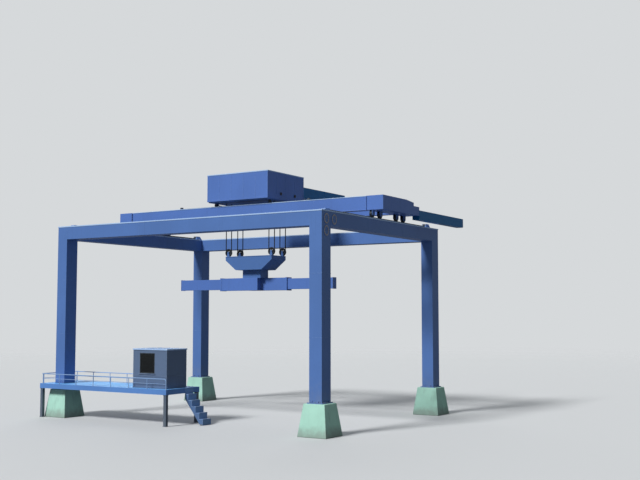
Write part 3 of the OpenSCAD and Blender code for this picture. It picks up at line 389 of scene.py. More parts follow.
frame_paint = painted_steel("blue frame paint", FRAME_BLUE, WORN_HIGHLIGHT_BLUE, splash=0.35)
coat(frame_paint, "legs", edge=0.008)
left_low, left_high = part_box("beam_left")
right_low, right_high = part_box("beam_right")
rear_low, rear_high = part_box("beam_rear")
leg_xs = ((left_low.x + left_high.x) / 2, (right_low.x + right_high.x) / 2)
leg_ys = ((beam_low.y + beam_high.y) / 2, (rear_low.y + rear_high.y) / 2)
half_x = (left_high.x - left_low.x) / 2
half_y = (beam_high.y - beam_low.y) / 2
lip = leg_xs[0] - half_x - leg_low.x
plate_top = leg_low.z + BASE_PLATE
leg_places = [(x, y) for x in leg_xs for y in leg_ys]
anchors = []
for x, y in leg_places:
    for step in (-ANCHOR_STEP, 0, ANCHOR_STEP):
        for side in (-1, 1):
            anchors += [(x + step, y + side * (half_y + lip / 2), plate_top),
                        (x + side * (half_x + lip / 2), y + step, plate_top)]
bolt_on("leg_anchor_nuts", "root", (ANCHOR_NUT, UP, anchors))
seams = [weld_seam((x - half_x, y - half_y, z), (x + half_x, y + half_y, z), 2, z)
         for x, y in leg_places for z in (plate_top, *LEG_JOINTS)]
dress("leg_weld_seams", seams, frame_paint, "root")


# Top beams: box beams butt welded between the heads of the legs, in the same blue, with a seam
# where each joins a leg and where two lengths meet. Wider plates cap the whole ring and throw the
# rain clear of the webs; their pale blue is a painted highlight along the ring's top edges.
# The pale cap blue is a painted highlight: top plates and roofs are made lighter as if lit from above.
CAP_HIGHLIGHT_BLUE = (168, 198, 238)
coat(frame_paint, "beam_front", "beam_rear", "beam_left", "beam_right", edge=0.008)
cap_highlight_paint = painted_steel("pale cap paint with painted highlight", CAP_HIGHLIGHT_BLUE, (214, 226, 240), streaks=0.25)
coat(cap_highlight_paint, "frame_cap_plates", edge=0.006)
seams = [weld_seam(low, high, along, low[along] + (high[along] - low[along]) * share)
         for low, high, along in ((beam_low, beam_high, 0), (rear_low, rear_high, 0),
                                  (left_low, left_high, 1), (right_low, right_high, 1))
         for share in (0, 1 / 3, 2 / 3, 1)]
dress("beam_weld_seams", seams, frame_paint, "root")


# Runway rails: two steel rails on the side beams, dark with old grease and polished where the
# wheels run. Bolted clips hold the foot of each rail on both sides at even steps.
RAIL_RUST = (96, 78, 66)
RUBBED_STEEL = (150, 154, 158)
POLISHED_STEEL = (168, 172, 176)
CLIP_STEP = 0.62
CLIP_BOLT = 0.03
CLIP_REACH = 0.09
RAIL_FOOT = 0.09
FOOT_EDGE = 0.0155
rail_low, rail_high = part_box("runway_rails")
rail_xs = (rail_low.x + RAIL_FOOT, rail_high.x - RAIL_FOOT)

# Upward faces: the faces that look up, from a slope of Low to a slope of High
upward_group, given, mask = new_group("upward faces", {"Low": 0.85, "High": 0.97})
facing = add_node(upward_group, "NewGeometry", {})["Normal"]
upwards = add_node(upward_group, "SeparateXYZ", {0: facing})["Z"]
upward_group.links.new(smooth_range(upward_group, upwards, given["Low"], given["High"]), mask)


def rolled_steel(name, dark, bright, polish_upwards=False):
    """Bare mill steel: dark scale with brighter rubbed patches, and a polished top where wheels run."""
    material, tree, shader = new_material(name, 0.55, 0.75)
    colour = clouded(tree, paint(dark), paint(bright), 4.0, 0.35, 0.7)
    colour = clouded(tree, colour, paint(RAIL_RUST), 9.0, 0.58, 0.8)
    rubbed = use_group(tree, wear_group, width=0.01, amount=0.6)
    colour = mix_colour(tree, rubbed, colour, paint(RUBBED_STEEL))
    if polish_upwards:
        polish = use_group(tree, upward_group, low=0.9, high=0.99)
        colour = mix_colour(tree, polish, colour, paint(POLISHED_STEEL))
        rough = math_node(tree, "SUBTRACT", 0.55, math_node(tree, "MULTIPLY", polish, 0.3))
        tree.links.new(rough, shader["Roughness"])
    tree.links.new(colour, shader["Base Color"])
    set_relief(tree, shader, clouds(tree, 60.0, 0.3, 0.7), 0.0008)
    return material


def rail_clip():
    """A clip plate that bears on the rail's foot, with its bolt behind, pointing to +X."""
    plate = bar((-0.012, -0.045, FOOT_EDGE), (CLIP_REACH, 0.045, FOOT_EDGE + 0.018))
    pick(plate, "FACE", lambda centre, normal: centre.x > CLIP_REACH * 0.9)
    bpy.ops.transform.translate(value=(0, 0, -FOOT_EDGE))
    leave()
    return join([plate, copies(hex_bolt(CLIP_BOLT), [(CLIP_REACH * 0.5, 0, 0.026)])])


rail_metal = rolled_steel("greased rail steel", (62, 70, 78), (88, 96, 104), polish_upwards=True)
coat(rail_metal, "runway_rails")
clips = []
clip_count = int((rail_high.y - rail_low.y - 0.3) / CLIP_STEP)
for side, turn in ((1, 0), (-1, math.pi)):
    places = [(x + side * RAIL_FOOT, rail_low.y + 0.2 + step * CLIP_STEP, rail_low.z)
              for x in rail_xs for step in range(clip_count + 1)]
    clips.append(copies(rail_clip(), places, (0, 0, turn)))
dress("runway_rail_clips", clips, galvanised, "root")


# Rail stops: welded wedges that close both ends of each rail, painted with the frame, low ones in
# front and high ones at the rear. A rubber buffer on a steel plate takes the wheels' knock.
STOP_LENGTH = 0.65
FRONT_STOP_HEIGHT = 0.15
BUFFER_RADIUS = 0.055
BUFFER_LENGTH = 0.04
BUFFER_PLATE = 0.012
stop_paint = painted_steel("blue stop paint", (100, 136, 194), WORN_HIGHLIGHT_BLUE)
coat(stop_paint, "rail_stops", edge=0.006)
stop_low, stop_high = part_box("rail_stops")
rubber, tree, shader = new_material("black buffer rubber", 0.75)
tree.links.new(clouded(tree, paint((26, 27, 28)), paint((46, 46, 45)), 20.0, 0.4, 0.7), shader["Base Color"])
buffers = []
plates = []
for face, way, top in ((stop_low.y + STOP_LENGTH, 1, stop_low.z + FRONT_STOP_HEIGHT),
                       (stop_high.y - STOP_LENGTH, -1, stop_high.z)):
    z = top - BUFFER_RADIUS - 0.005
    start = face + way * BUFFER_PLATE
    for x in rail_xs:
        buffers.append(rod((x, start, z), (x, start + way * BUFFER_LENGTH, z), BUFFER_RADIUS, 24))
        plates.append(bar((x - 0.12, min(face, start), z - 0.055), (x + 0.12, max(face, start), z + 0.055)))
dress("stop_buffers", buffers, rubber, "root")
dress("stop_buffer_plates", plates, galvanised, "root")


# Corner hatches: three oval covers over the hand holes at the near right corner, in the frame's
# blue with a grey tan rim, each bolted down round its rim and with a lifting handle.
HATCH_HALF = (0.235, 0.28)
HATCH_BOLT = 0.02
HATCH_BOLT_RING = (0.205, 0.25)
HATCH_TAN = (176, 170, 170)
HANDLE_BENDS = ((-0.02, -0.07), (0.03, -0.07), (0.03, 0.07), (-0.02, 0.07))
hatch_paint = painted_steel("hatch paint", HATCH_TAN, (200, 194, 188), streaks=0.5)
coat(hatch_paint, "corner_hatches")
hatch_low, hatch_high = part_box("corner_hatches")
hatch_x = hatch_high.x
tree = hatch_paint.node_tree
shader = tree.nodes["Principled BSDF"].inputs
rim_tone = shader["Base Color"].links[0].from_socket
outwards = add_node(tree, "SeparateXYZ", {0: own_place(tree)})["X"]
on_rim = smooth_range(tree, outwards, hatch_x - 0.012, hatch_x - 0.006)
tree.links.new(mix_colour(tree, on_rim, paint(FRAME_BLUE), rim_tone), shader["Base Color"])
hatch_ys = (hatch_low.y + HATCH_HALF[0], hatch_high.y - HATCH_HALF[0])
hatch_zs = (hatch_low.z + HATCH_HALF[1], hatch_high.z - HATCH_HALF[1])
hatch_middles = [(hatch_ys[0], hatch_zs[1]), (hatch_ys[1], hatch_zs[1]), (hatch_ys[0], hatch_zs[0])]


def round_places(centre, reach, count, first=0.0, axis=0):
    """Even places on a ring or oval round an axis, from the angle first on. Reach is its two half widths."""
    flat = [way for way in range(3) if way != axis]
    places = []
    for step in range(count):
        turn = first + math.tau * step / count
        place = Vector(centre)
        place[flat[0]] += reach[0] * math.cos(turn)
        place[flat[1]] += reach[1] * math.sin(turn)
        places.append(place)
    return places


def bent_tube(points, radius, bend, sides=12):
    """A round tube through the points: a ring extruded along each straight and spun round each bend."""
    points = [Vector(point) for point in points]
    ways = [(after - before).normalized() for before, after in zip(points, points[1:])]
    only()
    bpy.ops.mesh.primitive_circle_add(vertices=sides, radius=radius, fill_type="NOTHING", location=points[0],
                                      rotation=ways[0].to_track_quat("Z", "Y").to_euler())
    tube = settle()
    pick(tube, "EDGE", lambda centre, way: True)
    used = 0.0
    for index, way in enumerate(ways):
        length = (points[index + 1] - points[index]).length
        ahead = 0.0
        if index + 1 < len(ways):
            turn = way.angle(ways[index + 1])
            ahead = bend * math.tan(turn / 2)
        bpy.ops.mesh.extrude_region_move(TRANSFORM_OT_translate={"value": way * (length - used - ahead)})
        if ahead:
            axis = way.cross(ways[index + 1]).normalized()
            middle = points[index + 1] - way * ahead + axis.cross(way) * bend
            bpy.ops.mesh.spin(steps=5, angle=turn, center=middle, axis=axis)
        used = ahead
    bpy.ops.mesh.select_all(action="SELECT")
    bpy.ops.mesh.remove_doubles(threshold=0.0002)
    bpy.ops.mesh.fill_holes(sides=0)
    bpy.ops.mesh.normals_make_consistent(inside=False)
    leave()
    bpy.ops.object.shade_smooth_by_angle(angle=math.radians(40))
    return tube


bolts = [place for y, z in hatch_middles for place in round_places((hatch_x, y, z), HATCH_BOLT_RING, 12)]
bolt_on("hatch_bolts", "root", (HATCH_BOLT, RIGHT, bolts))
handles = [bent_tube([(hatch_x + out, y + along, z) for out, along in HANDLE_BENDS], 0.008, 0.02, 8)
           for y, z in hatch_middles]
dress("hatch_handles", handles, galvanised, "root")


# Platform deck: steel tread plate on edge beams and joists, in blue paint with a painted highlight
# that makes the top brighter than the sides. The plate lies in sheets as long as a bay, and the
# raised bars of its pattern keep a boot from slipping.
DECK_TOP_HIGHLIGHT_BLUE = (120, 190, 252)
EDGE_BLUE = (92, 138, 204)
DECK_BAYS = 8
JOIST_WIDTH = 0.06
deck_low, deck_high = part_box("platform_deck")
tread_group, given, mask = new_group("tread plate", {"Cell": 0.05, "Start": 0.0, "Sheet": 1.3})


def tread(operation, first, second=0.0):
    return math_node(tread_group, operation, first, second)


across, along = add_node(tread_group, "SeparateXYZ", {0: own_place(tread_group)})[:2]
column, row = [tread("DIVIDE", line, given["Cell"]) for line in (across, along)]
turned = tread("FLOORED_MODULO", tread("ADD", tread("FLOOR", column), tread("FLOOR", row)), 2.0)
in_cell = [tread("SUBTRACT", tread("FRACT", line), 0.5) for line in (column, row)]
shift = tread("MULTIPLY", tread("SUBTRACT", in_cell[1], in_cell[0]), turned)
lengthways = tread("DIVIDE", tread("ADD", in_cell[0], shift), 0.42)
sideways = tread("DIVIDE", tread("SUBTRACT", in_cell[1], shift), 0.13)
spread = tread("ADD", tread("MULTIPLY", lengthways, lengthways), tread("MULTIPLY", sideways, sideways))
bars_up = tread("SUBTRACT", 1.0, smooth_range(tread_group, spread, 0.6, 1.2))
sheet_place = tread("DIVIDE", tread("SUBTRACT", across, given["Start"]), given["Sheet"])
from_middle = tread("ABSOLUTE", tread("SUBTRACT", tread("FRACT", sheet_place), 0.5))
groove = smooth_range(tread_group, from_middle, 0.493, 0.499)
tread_group.links.new(tread("SUBTRACT", bars_up, tread("MULTIPLY", groove, 2.0)), mask)

deck_paint = painted_steel("deck paint", EDGE_BLUE, (150, 182, 224), roughness=0.5, streaks=0.2)
tree = deck_paint.node_tree
shader = tree.nodes["Principled BSDF"].inputs
edge_tone = shader["Base Color"].links[0].from_socket
# The brighter blue on the upward faces is a painted highlight: the top is coloured as if lit from above.
painted_highlight_top = clouded(tree, paint(DECK_TOP_HIGHLIGHT_BLUE), paint((108, 172, 232)), 1.6, 0.4, 0.75)
on_top = use_group(tree, upward_group, low=0.8, high=0.95)
tree.links.new(mix_colour(tree, on_top, edge_tone, painted_highlight_top), shader["Base Color"])
sheet = (deck_high.x - deck_low.x - JOIST_WIDTH) / DECK_BAYS
bars_up = use_group(tree, tread_group, cell=0.05, start=deck_low.x + JOIST_WIDTH / 2, sheet=sheet)
set_relief(tree, shader, math_node(tree, "MULTIPLY", bars_up, on_top), 0.003)
coat(deck_paint, "platform_deck")


# Platform posts: four square tubes in grey blue paint, each with a plate at its foot and at its
# head. Four nuts hold each foot down, and four bolts hold the deck on each head.
POST_BOLT = 0.016
POST_BOLT_STEP = 0.107
POST_INSET = 0.12
POST_PLATE = 0.02
post_low, post_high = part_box("platform_posts")
post_paint = painted_steel("grey blue post paint", (78, 94, 116), (128, 140, 158), splash=0.25)
coat(post_paint, "platform_posts", edge=0.004)
bolt_corners = [(x + a * POST_BOLT_STEP, y + b * POST_BOLT_STEP)
                for x in (post_low.x + POST_INSET, post_high.x - POST_INSET)
                for y in (post_low.y + POST_INSET, post_high.y - POST_INSET)
                for a in (-1, 1) for b in (-1, 1)]
bolt_on("post_bolts", "root", (POST_BOLT, UP, [(x, y, POST_PLATE) for x, y in bolt_corners]),
        (POST_BOLT, DOWN, [(x, y, post_high.z - POST_PLATE) for x, y in bolt_corners]))


# Guard rails: one round top tube with bends at the corners and down into the end posts, a thinner
# middle tube, and posts on round flanges. Slip sleeves join the lengths of the top tube, and
# three screws hold each flange to the deck.
RAIL_EDGE = 0.06
RAIL_BEND = 0.15
RAIL_POST = 0.042
RAIL_TUBE = 0.05
RAIL_BAYS = (7, 6)
SIDE_BAYS = 2
SLEEVE_HALF = 0.035
SLEEVE_RADIUS = 0.029
FLANGE_RADIUS = 0.055
FLANGE_THICKNESS = 0.01
FLANGE_SCREW = 0.014
SCREW_RING = 0.039
rail_paint = painted_steel("pale blue rail paint", (138, 170, 212), (190, 200, 214), streaks=0.3)
coat(rail_paint, "guard_rail_front", "guard_rail_left", "guard_rail_rear")
rail_x0 = deck_low.x + RAIL_EDGE
rail_ys = (deck_low.y + RAIL_EDGE, deck_high.y - RAIL_EDGE)
rail_ends = [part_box(name)[1].x - FLANGE_RADIUS for name in ("guard_rail_front", "guard_rail_rear")]
tube_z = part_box("guard_rail_front")[1].z - RAIL_TUBE / 2
side_start = rail_ys[0] + RAIL_BEND + RAIL_POST
side_bay = (rail_ys[1] - rail_ys[0] - 2 * RAIL_BEND - 2 * RAIL_POST) / SIDE_BAYS
posts = [(rail_x0 + RAIL_BEND + step * (end - rail_x0 - RAIL_BEND) / bays, y)
         for y, end, bays in zip(rail_ys, rail_ends, RAIL_BAYS) for step in range(bays + 1)]
posts += [(rail_x0, side_start + step * side_bay) for step in range(SIDE_BAYS + 1)]
flange_top = deck_high.z + FLANGE_THICKNESS
screws = [place for x, y in posts
          for place in round_places((x, y, flange_top), (SCREW_RING, SCREW_RING), 3, math.pi / 6, axis=2)]
bolt_on("guard_rail_screws", "root", (FLANGE_SCREW, UP, screws))
sleeves = []
for y, way, end in zip(rail_ys, (1, -1), rail_ends):
    for x in (rail_x0 + RAIL_BEND, (rail_x0 + end) / 2 + 0.3, end - RAIL_BEND):
        sleeves.append(rod((x - SLEEVE_HALF, y, tube_z), (x + SLEEVE_HALF, y, tube_z), SLEEVE_RADIUS, 24))
    turn_y = y + way * RAIL_BEND
    sleeves.append(rod((rail_x0, turn_y - SLEEVE_HALF, tube_z), (rail_x0, turn_y + SLEEVE_HALF, tube_z),
                       SLEEVE_RADIUS, 24))
dress("guard_rail_sleeves", sleeves, rail_paint, "root")


# Stair: closed steps folded from plate on two stepped side plates, in the platform's blue. Ribbed
# strips lie along the front edges, bolts hold the top step to the deck's edge beam, and angles
# bolt the side plates to the yard.
RISERS = 6
STAIR_RUN = 0.275
STEP_THICKNESS = 0.012
GRIP_WIDTH = 0.012
GRIP_STEP = 0.022
ANGLE_LEG = 0.07
ANGLE_THICKNESS = 0.008
stair_low, stair_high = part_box("stair_sides")
stair_paint = painted_steel("blue stair paint", (70, 110, 164), (130, 158, 198), splash=0.2)
coat(stair_paint, "stair_sides", edge=0.002)
tread_paint = painted_steel("pale tread paint", (112, 158, 214), (176, 194, 218), splash=0.2)
coat(tread_paint, "stair_treads", edge=0.002)
riser = deck_high.z / RISERS
grips = []
for step in range(1, RISERS):
    for line in range(3):
        front = deck_high.x + (RISERS - step) * STAIR_RUN - 0.012 - line * GRIP_STEP
        grips.append(bar((front - GRIP_WIDTH, stair_low.y + 0.03, step * riser),
                         (front, stair_high.y - 0.03, step * riser + 0.004), 0.0015))
dress("tread_grip_strips", grips, galvanised, "root")
angles = []
rows = []
bolt_xs = (stair_high.x - 0.125, stair_high.x - 0.035)
for y, side, turn in ((stair_low.y, -1, FRONT), (stair_high.y, 1, REAR)):
    for depth, height in ((ANGLE_LEG, ANGLE_THICKNESS), (ANGLE_THICKNESS, ANGLE_LEG)):
        near, far = sorted((y, y + side * depth))
        angles.append(bar((stair_high.x - 0.15, near, 0), (stair_high.x - 0.01, far, height), 0.002))
    rows.append((0.018, UP, [(x, y + side * 0.042, ANGLE_THICKNESS) for x in bolt_xs]))
    rows.append((0.014, turn, [(x, y + side * ANGLE_THICKNESS, 0.044) for x in bolt_xs]))
step_face = deck_high.x + STEP_THICKNESS
rows.append((0.02, RIGHT, [(step_face, stair_low.y + 0.09 + column * 0.145, deck_high.z - drop)
                           for column in range(5) for drop in (0.07, 0.24)]))
dress("stair_foot_angles", angles, galvanised, "root")
bolt_on("stair_bolts", "root", *rows)


# Cabin walls: insulated sheet steel panels in grey blue. Folded angles cover the corners, a strip
# covers the joint with the deck, and a rubbing strip runs round below the window.
CORNER_WIDTH = 0.07
CORNER_THICKNESS = 0.006
FOOT_STRIP = (0.0, 0.1)
RUBBING_STRIP = (0.68, 0.74)
cabin_low, wall_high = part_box("cabin_front_wall")
leaf_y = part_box("cabin_rear_wall")[1].y
cabin_high = Vector((wall_high.x, leaf_y, wall_high.z))
cabin_paint = painted_steel("grey blue cabin paint", (94, 113, 142), (142, 156, 178), 0.5, streaks=0.7)
coat(cabin_paint, "cabin_front_wall", "cabin_rear_wall", "cabin_left_wall", "cabin_right_wall")


def wall_strip(low, high, sides, width, thickness, z0, z1):
    """Strips on a box's sides between two heights: corner angles, or whole bands where width is 0."""
    parts = []
    for side in sides:
        flat = 1 if side in ("front", "rear") else 0
        outer = low[flat] - thickness if side in ("front", "left") else high[flat]
        reach = thickness * flat
        spans = [(low[1 - flat] - reach, high[1 - flat] + reach)]
        if width:
            spans = [(spans[0][0], low[1 - flat] + width), (high[1 - flat] - width, spans[0][1])]
        for start, end in spans:
            near, far = (start, outer), (end, outer + thickness)
            if not flat:
                near, far = (outer, start), (outer + thickness, end)
            parts.append(bar((*near, z0), (*far, z1), thickness * 0.3))
    return parts


ALL_SIDES = ("front", "rear", "left", "right")
CLOSED_SIDES = ("front", "left", "right")
trims = wall_strip(cabin_low, cabin_high, ALL_SIDES, CORNER_WIDTH, CORNER_THICKNESS,
                   cabin_low.z, cabin_high.z)
for strip, thickness in ((FOOT_STRIP, 0.012), (RUBBING_STRIP, 0.014)):
    z0, z1 = (cabin_low.z + level for level in strip)
    trims += wall_strip(cabin_low, cabin_high, CLOSED_SIDES, 0, thickness, z0, z1)
dress("cabin_wall_trims", trims, cabin_paint, "root")


# Cabin roof: a folded pan of sheet with raised seams where its sheets meet, in the pale cap paint, a painted
# highlight on the roof.
ROOF_SEAM = 0.014
coat(cap_highlight_paint, "cabin_roof", edge=0.01)


def roof_seams(roof, step, body):
    """Raised seams across a flat roof, at even steps along it."""
    low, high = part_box(roof)
    count = round((high.x - low.x) / step)
    places = [low.x + (high.x - low.x) * part / count for part in range(1, count)]
    seams = [bar((x - 0.012, low.y + 0.01, high.z - 0.002), (x + 0.012, high.y - 0.01, high.z + ROOF_SEAM))
             for x in places]
    dress(roof + "_seams", seams, cap_highlight_paint, body)


roof_seams("cabin_roof", 0.65, "root")


# Cabin window: a dark steel frame in the front wall with one pane of tinted glass in a rubber
# seal, and a sloping drip sill under it.
SEAL_WIDTH = 0.016
SEAL_DEPTH = 0.008
frame_low, frame_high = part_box("window_frame")
glass_low, glass_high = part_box("window_glass")
window_paint = painted_steel("dark window paint", (40, 47, 54), (96, 104, 112), roughness=0.4, streaks=0.2)
coat(window_paint, "window_frame", edge=0.003)
tinted, tree, shader = new_material("tinted window glass")
shader["Base Color"].default_value = paint((46, 54, 60))
shader["Transmission Weight"].default_value = 0.9
shader["IOR"].default_value = 1.45
film = math_node(tree, "MULTIPLY", clouds(tree, 6.0, 0.45, 0.75), 0.12)
tree.links.new(math_node(tree, "ADD", 0.03, film), shader["Roughness"])
coat(tinted, "window_glass")
seal_low = glass_low - Vector((0, SEAL_DEPTH, 0))
seal_high = glass_high + Vector((0, SEAL_DEPTH, 0))
seals = []
for way in (0, 2):
    near, far = seal_low.copy(), seal_high.copy()
    near[way] = seal_high[way] - SEAL_WIDTH
    far[way] = seal_low[way] + SEAL_WIDTH
    seals += [bar(seal_low, far, 0.004), bar(near, seal_high, 0.004)]
dress("window_seal", seals, rubber, "root")
sill = bar((frame_low.x - 0.05, cabin_low.y - 0.045, frame_low.z - 0.04),
           (frame_high.x + 0.05, cabin_low.y + 0.004, frame_low.z))
pick(sill, "FACE", lambda centre, normal: normal.y < -0.9)
bpy.ops.transform.translate(value=(0, 0, -0.012))
leave()
dress("window_sill", [sill], cabin_paint, "root")


# Cabin door: a steel leaf with two sunk panels, hung on three hinges, with a round knob on a
# scutcheon plate.
PLATE_THICKNESS = 0.005
door_low, door_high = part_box("cabin_door")
knob = Vector((door_high.x - 0.06, leaf_y, (door_low.z + door_high.z) / 2))
door_paint = painted_steel("blue door paint", (88, 108, 142), (138, 152, 176), roughness=0.45, streaks=0.5)
coat(door_paint, "cabin_door", edge=0.003)
hinges = []
for z in (door_low.z + 0.25, knob.z + 0.12, door_high.z - 0.25):
    x, y = door_low.x, leaf_y + 0.012
    hinges.append(rod((x, y, z - 0.06), (x, y, z + 0.06), 0.012))
    hinges.append(bar((x - 0.055, leaf_y, z - 0.05), (x + 0.055, leaf_y + PLATE_THICKNESS, z + 0.05), 0.001))
dress("door_hinges", hinges, galvanised, "root")
plate = bar((knob.x - 0.03, leaf_y, knob.z - 0.1),
            (knob.x + 0.03, leaf_y + PLATE_THICKNESS, knob.z + 0.1), 0.002)
dress("door_scutcheon", [plate], galvanised, "root")


# Bridge girders: two box beams of welded plate, with side plates set back between a bottom plate
# and a top plate in pale paint, a painted highlight along the top. Bolted end plates join them to the end
# carriages.
BRIDGE_BLUE = (85, 120, 190)
BRIDGE_WORN_HIGHLIGHT = (132, 160, 208)
SET_BACK = 0.02
FOOT_PLATE = 0.03
END_PLATE = 0.03
END_BOLT = 0.03
END_BOLT_STEP = 0.13
bridge_paint = painted_steel("blue bridge paint", BRIDGE_BLUE, BRIDGE_WORN_HIGHLIGHT)
coat(bridge_paint, "girder_front", "girder_rear", edge=0.005)
coat(cap_highlight_paint, "girder_top_plates", edge=0.005)
seams = []
end_plates = []
end_bolts = {RIGHT: [], LEFT: []}
for name in ("girder_front", "girder_rear"):
    low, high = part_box(name)
    web_low = Vector((low.x, low.y + SET_BACK, low.z + FOOT_PLATE))
    web_high = Vector((high.x, high.y - SET_BACK, high.z))
    for share in (0.2, 0.4, 0.6, 0.8):
        seams.append(weld_seam(web_low, web_high, 0, low.x + (high.x - low.x) * share))
    for x, way, turn in ((low.x, 1, RIGHT), (high.x, -1, LEFT)):
        near, far = sorted((x, x + way * END_PLATE))
        for y, out in ((web_low.y, -1), (web_high.y, 1)):
            inner, outer = sorted((y, y + out * 0.075))
            end_plates.append(bar((near, inner, low.z), (far, outer, high.z + 0.02)))
            end_bolts[turn] += [(x + way * END_PLATE, y + out * 0.042, low.z + 0.08 + step * END_BOLT_STEP)
                                for step in range(6)]
dress("girder_weld_seams", seams, bridge_paint, "bridge")
dress("girder_end_plates", end_plates, bridge_paint, "bridge")
bolt_on("girder_end_bolts", "bridge", *[(END_BOLT, turn, places) for turn, places in end_bolts.items()])


# End carriages: deep box beams across both ends of the bridge, with a sloping shoulder and a low
# tail. The wheels run between pairs of drilled bracket plates under them.
COVER_BOLT = 0.016
COVER_BOLT_RING = (0.066, 0.066)
COVER_THICKNESS = 0.014
COVER_SINK = 0.012
head_paint = painted_steel("blue fittings paint", (78, 114, 172), (124, 152, 196))
coat(bridge_paint, "carriage_left", "carriage_right", edge=0.006)
coat(head_paint, "wheel_brackets", edge=0.003)
seams = []
for name in ("carriage_left", "carriage_right"):
    low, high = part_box(name)
    seams += [weld_seam(low, high, 1, low.y + reach) for reach in (1.1, 2.2)]
dress("carriage_weld_seams", seams, bridge_paint, "bridge")


def ring(start, way, inner, outer, thickness, sides=24):
    """A flat ring round an axis, from start along way."""
    start, way = Vector(start), Vector(way)
    only()
    bpy.ops.mesh.primitive_circle_add(vertices=sides, radius=inner, fill_type="NOTHING", location=start,
                                      rotation=way.to_track_quat("Z", "Y").to_euler())
    piece = settle()
    pick(piece, "EDGE", lambda centre, along: True)
    bpy.ops.mesh.extrude_region_move()
    bpy.ops.transform.resize(value=[outer / inner] * 3)
    bpy.ops.mesh.select_all(action="SELECT")
    bpy.ops.mesh.extrude_region_move(TRANSFORM_OT_translate={"value": way * thickness})
    bpy.ops.mesh.select_all(action="SELECT")
    bpy.ops.mesh.normals_make_consistent(inside=False)
    leave()
    break_edges(piece, thickness * 0.2, 1)
    bpy.ops.object.shade_smooth_by_angle(angle=math.radians(35))
    return piece


covers = []
rows = []
for side, turn in ((-1, LEFT), (1, RIGHT)):
    places = []
    for number in range(1, 9):
        low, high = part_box(f"wheel_{number}")
        middle = (low + high) / 2
        middle.x = (high.x if side > 0 else low.x) - side * COVER_SINK
        covers.append(ring(middle, (side, 0, 0), 0.044, 0.085, COVER_THICKNESS))
        middle.x += side * COVER_THICKNESS
        places += round_places(middle, COVER_BOLT_RING, 6, math.pi / 6)
    rows.append((COVER_BOLT, turn, places))
dress("axle_covers", covers, head_paint, "bridge")
bolt_on("axle_cover_bolts", "bridge", *rows)


# Bridge wheels: eight forged wheels with two flanges, a web and a hub, turned bright where they
# meet the rail and dark with grease elsewhere.
wheel_metal = rolled_steel("greased wheel steel", (42, 48, 54), (72, 78, 84))
coat(wheel_metal, *[f"wheel_{number}" for number in range(1, 9)])


# Trolley rails: flat steel bars on the girders' top plates, held by short runs of weld on both
# sides, with a block stop at each end.
BEAD_STEP = 0.42
BEAD_LENGTH = 0.12
BEAD_SIZE = 0.01
TRACK_HALF = 0.035
coat(rail_metal, "trolley_rails", edge=0.003)
track_low, track_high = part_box("trolley_rails")
bead_count = int((track_high.x - track_low.x - 0.6) / BEAD_STEP) + 1
beads = []
for name in ("girder_front", "girder_rear"):
    low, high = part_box(name)
    for side in (-1, 1):
        edge = (low.y + high.y) / 2 + side * TRACK_HALF
        near, far = sorted((edge, edge + side * BEAD_SIZE))
        for step in range(bead_count):
            x = track_low.x + 0.3 + step * BEAD_STEP
            beads.append(bar((x, near, track_low.z), (x + BEAD_LENGTH, far, track_low.z + BEAD_SIZE), 0.004))
dress("trolley_rail_welds", beads, rail_metal, "bridge")


# Bridge arm and house arm: two long box arms in dark blue paint. One is welded to the tail of the
# right end carriage, the other to the rear of the machine house, and each ends in a bolted cover.
ARM_BLUE = (8, 106, 166)
ARM_COVER = 0.012
ARM_BOLT = 0.024
arm_paint = painted_steel("dark blue arm paint", ARM_BLUE, (60, 118, 160), roughness=0.55, streaks=0.3)


def border_places(low, high, axis, at, inset, columns, rows):
    """Bolt places along the four edges of a face square to an axis, inset from them."""
    across, up = [way for way in range(3) if way != axis]
    step_across = (high[across] - low[across] - 2 * inset) / (columns - 1)
    step_up = (high[up] - low[up] - 2 * inset) / (rows - 1)
    places = []
    for column in range(columns):
        for row in range(rows):
            if column in (0, columns - 1) or row in (0, rows - 1):
                place = Vector((at, at, at))
                place[across] = low[across] + inset + column * step_across
                place[up] = low[up] + inset + row * step_up
                places.append(place)
    return places


def box_arm(node, body):
    """Finishes an arm: weld rings at its root and middle, and a cover with bolts on its far end."""
    coat(arm_paint, node, edge=0.006)
    low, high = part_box(node)
    parts = [weld_seam(low, high, 1, y) for y in (low.y + 0.02, (low.y + high.y) / 2)]
    parts.append(bar((low.x + 0.03, high.y, low.z + 0.03),
                     (high.x - 0.03, high.y + ARM_COVER, high.z - 0.03)))
    dress(node + "_fittings", parts, arm_paint, body)
    places = border_places(low, high, 1, high.y + ARM_COVER, 0.06, 4, 4)
    bolt_on(node + "_bolts", body, (ARM_BOLT, REAR, places))


box_arm("bridge_arm", "bridge")
box_arm("house_arm", "trolley")


# Trolley bed: a thick plate under the machine house with four bearing blocks welded under it, in
# the darker blue of the fittings.
coat(head_paint, "trolley_bed", edge=0.003)


# Machine house: a closed housing of sheet steel on the trolley, in the bridge's blue. Cover
# strips hide the joints of its sheets, and a roof with raised seams lies on top, its pale tone a painted
# highlight.
STRIP_HALF = 0.03
STRIP_THICKNESS = 0.006
HOUSE_FOOT = 0.11
house_low, house_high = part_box("machine_house")
coat(bridge_paint, "machine_house", edge=0.004)
foot_top = house_low.z + HOUSE_FOOT
strips = wall_strip(house_low, house_high, ALL_SIDES, 0.09, STRIP_THICKNESS, house_low.z, house_high.z)
strips += wall_strip(house_low, house_high, ALL_SIDES, 0, 0.012, house_low.z, foot_top)
for count, flat in ((5, 1), (4, 0)):
    length = house_high[1 - flat] - house_low[1 - flat]
    for step in range(1, count):
        middle = house_low[1 - flat] + length * step / count
        for outer in (house_low[flat] - STRIP_THICKNESS, house_high[flat]):
            low, high = [middle - STRIP_HALF, outer], [middle + STRIP_HALF, outer + STRIP_THICKNESS]
            if flat == 0:
                low.reverse()
                high.reverse()
            strips.append(bar((*low, foot_top), (*high, house_high.z), 0.002))
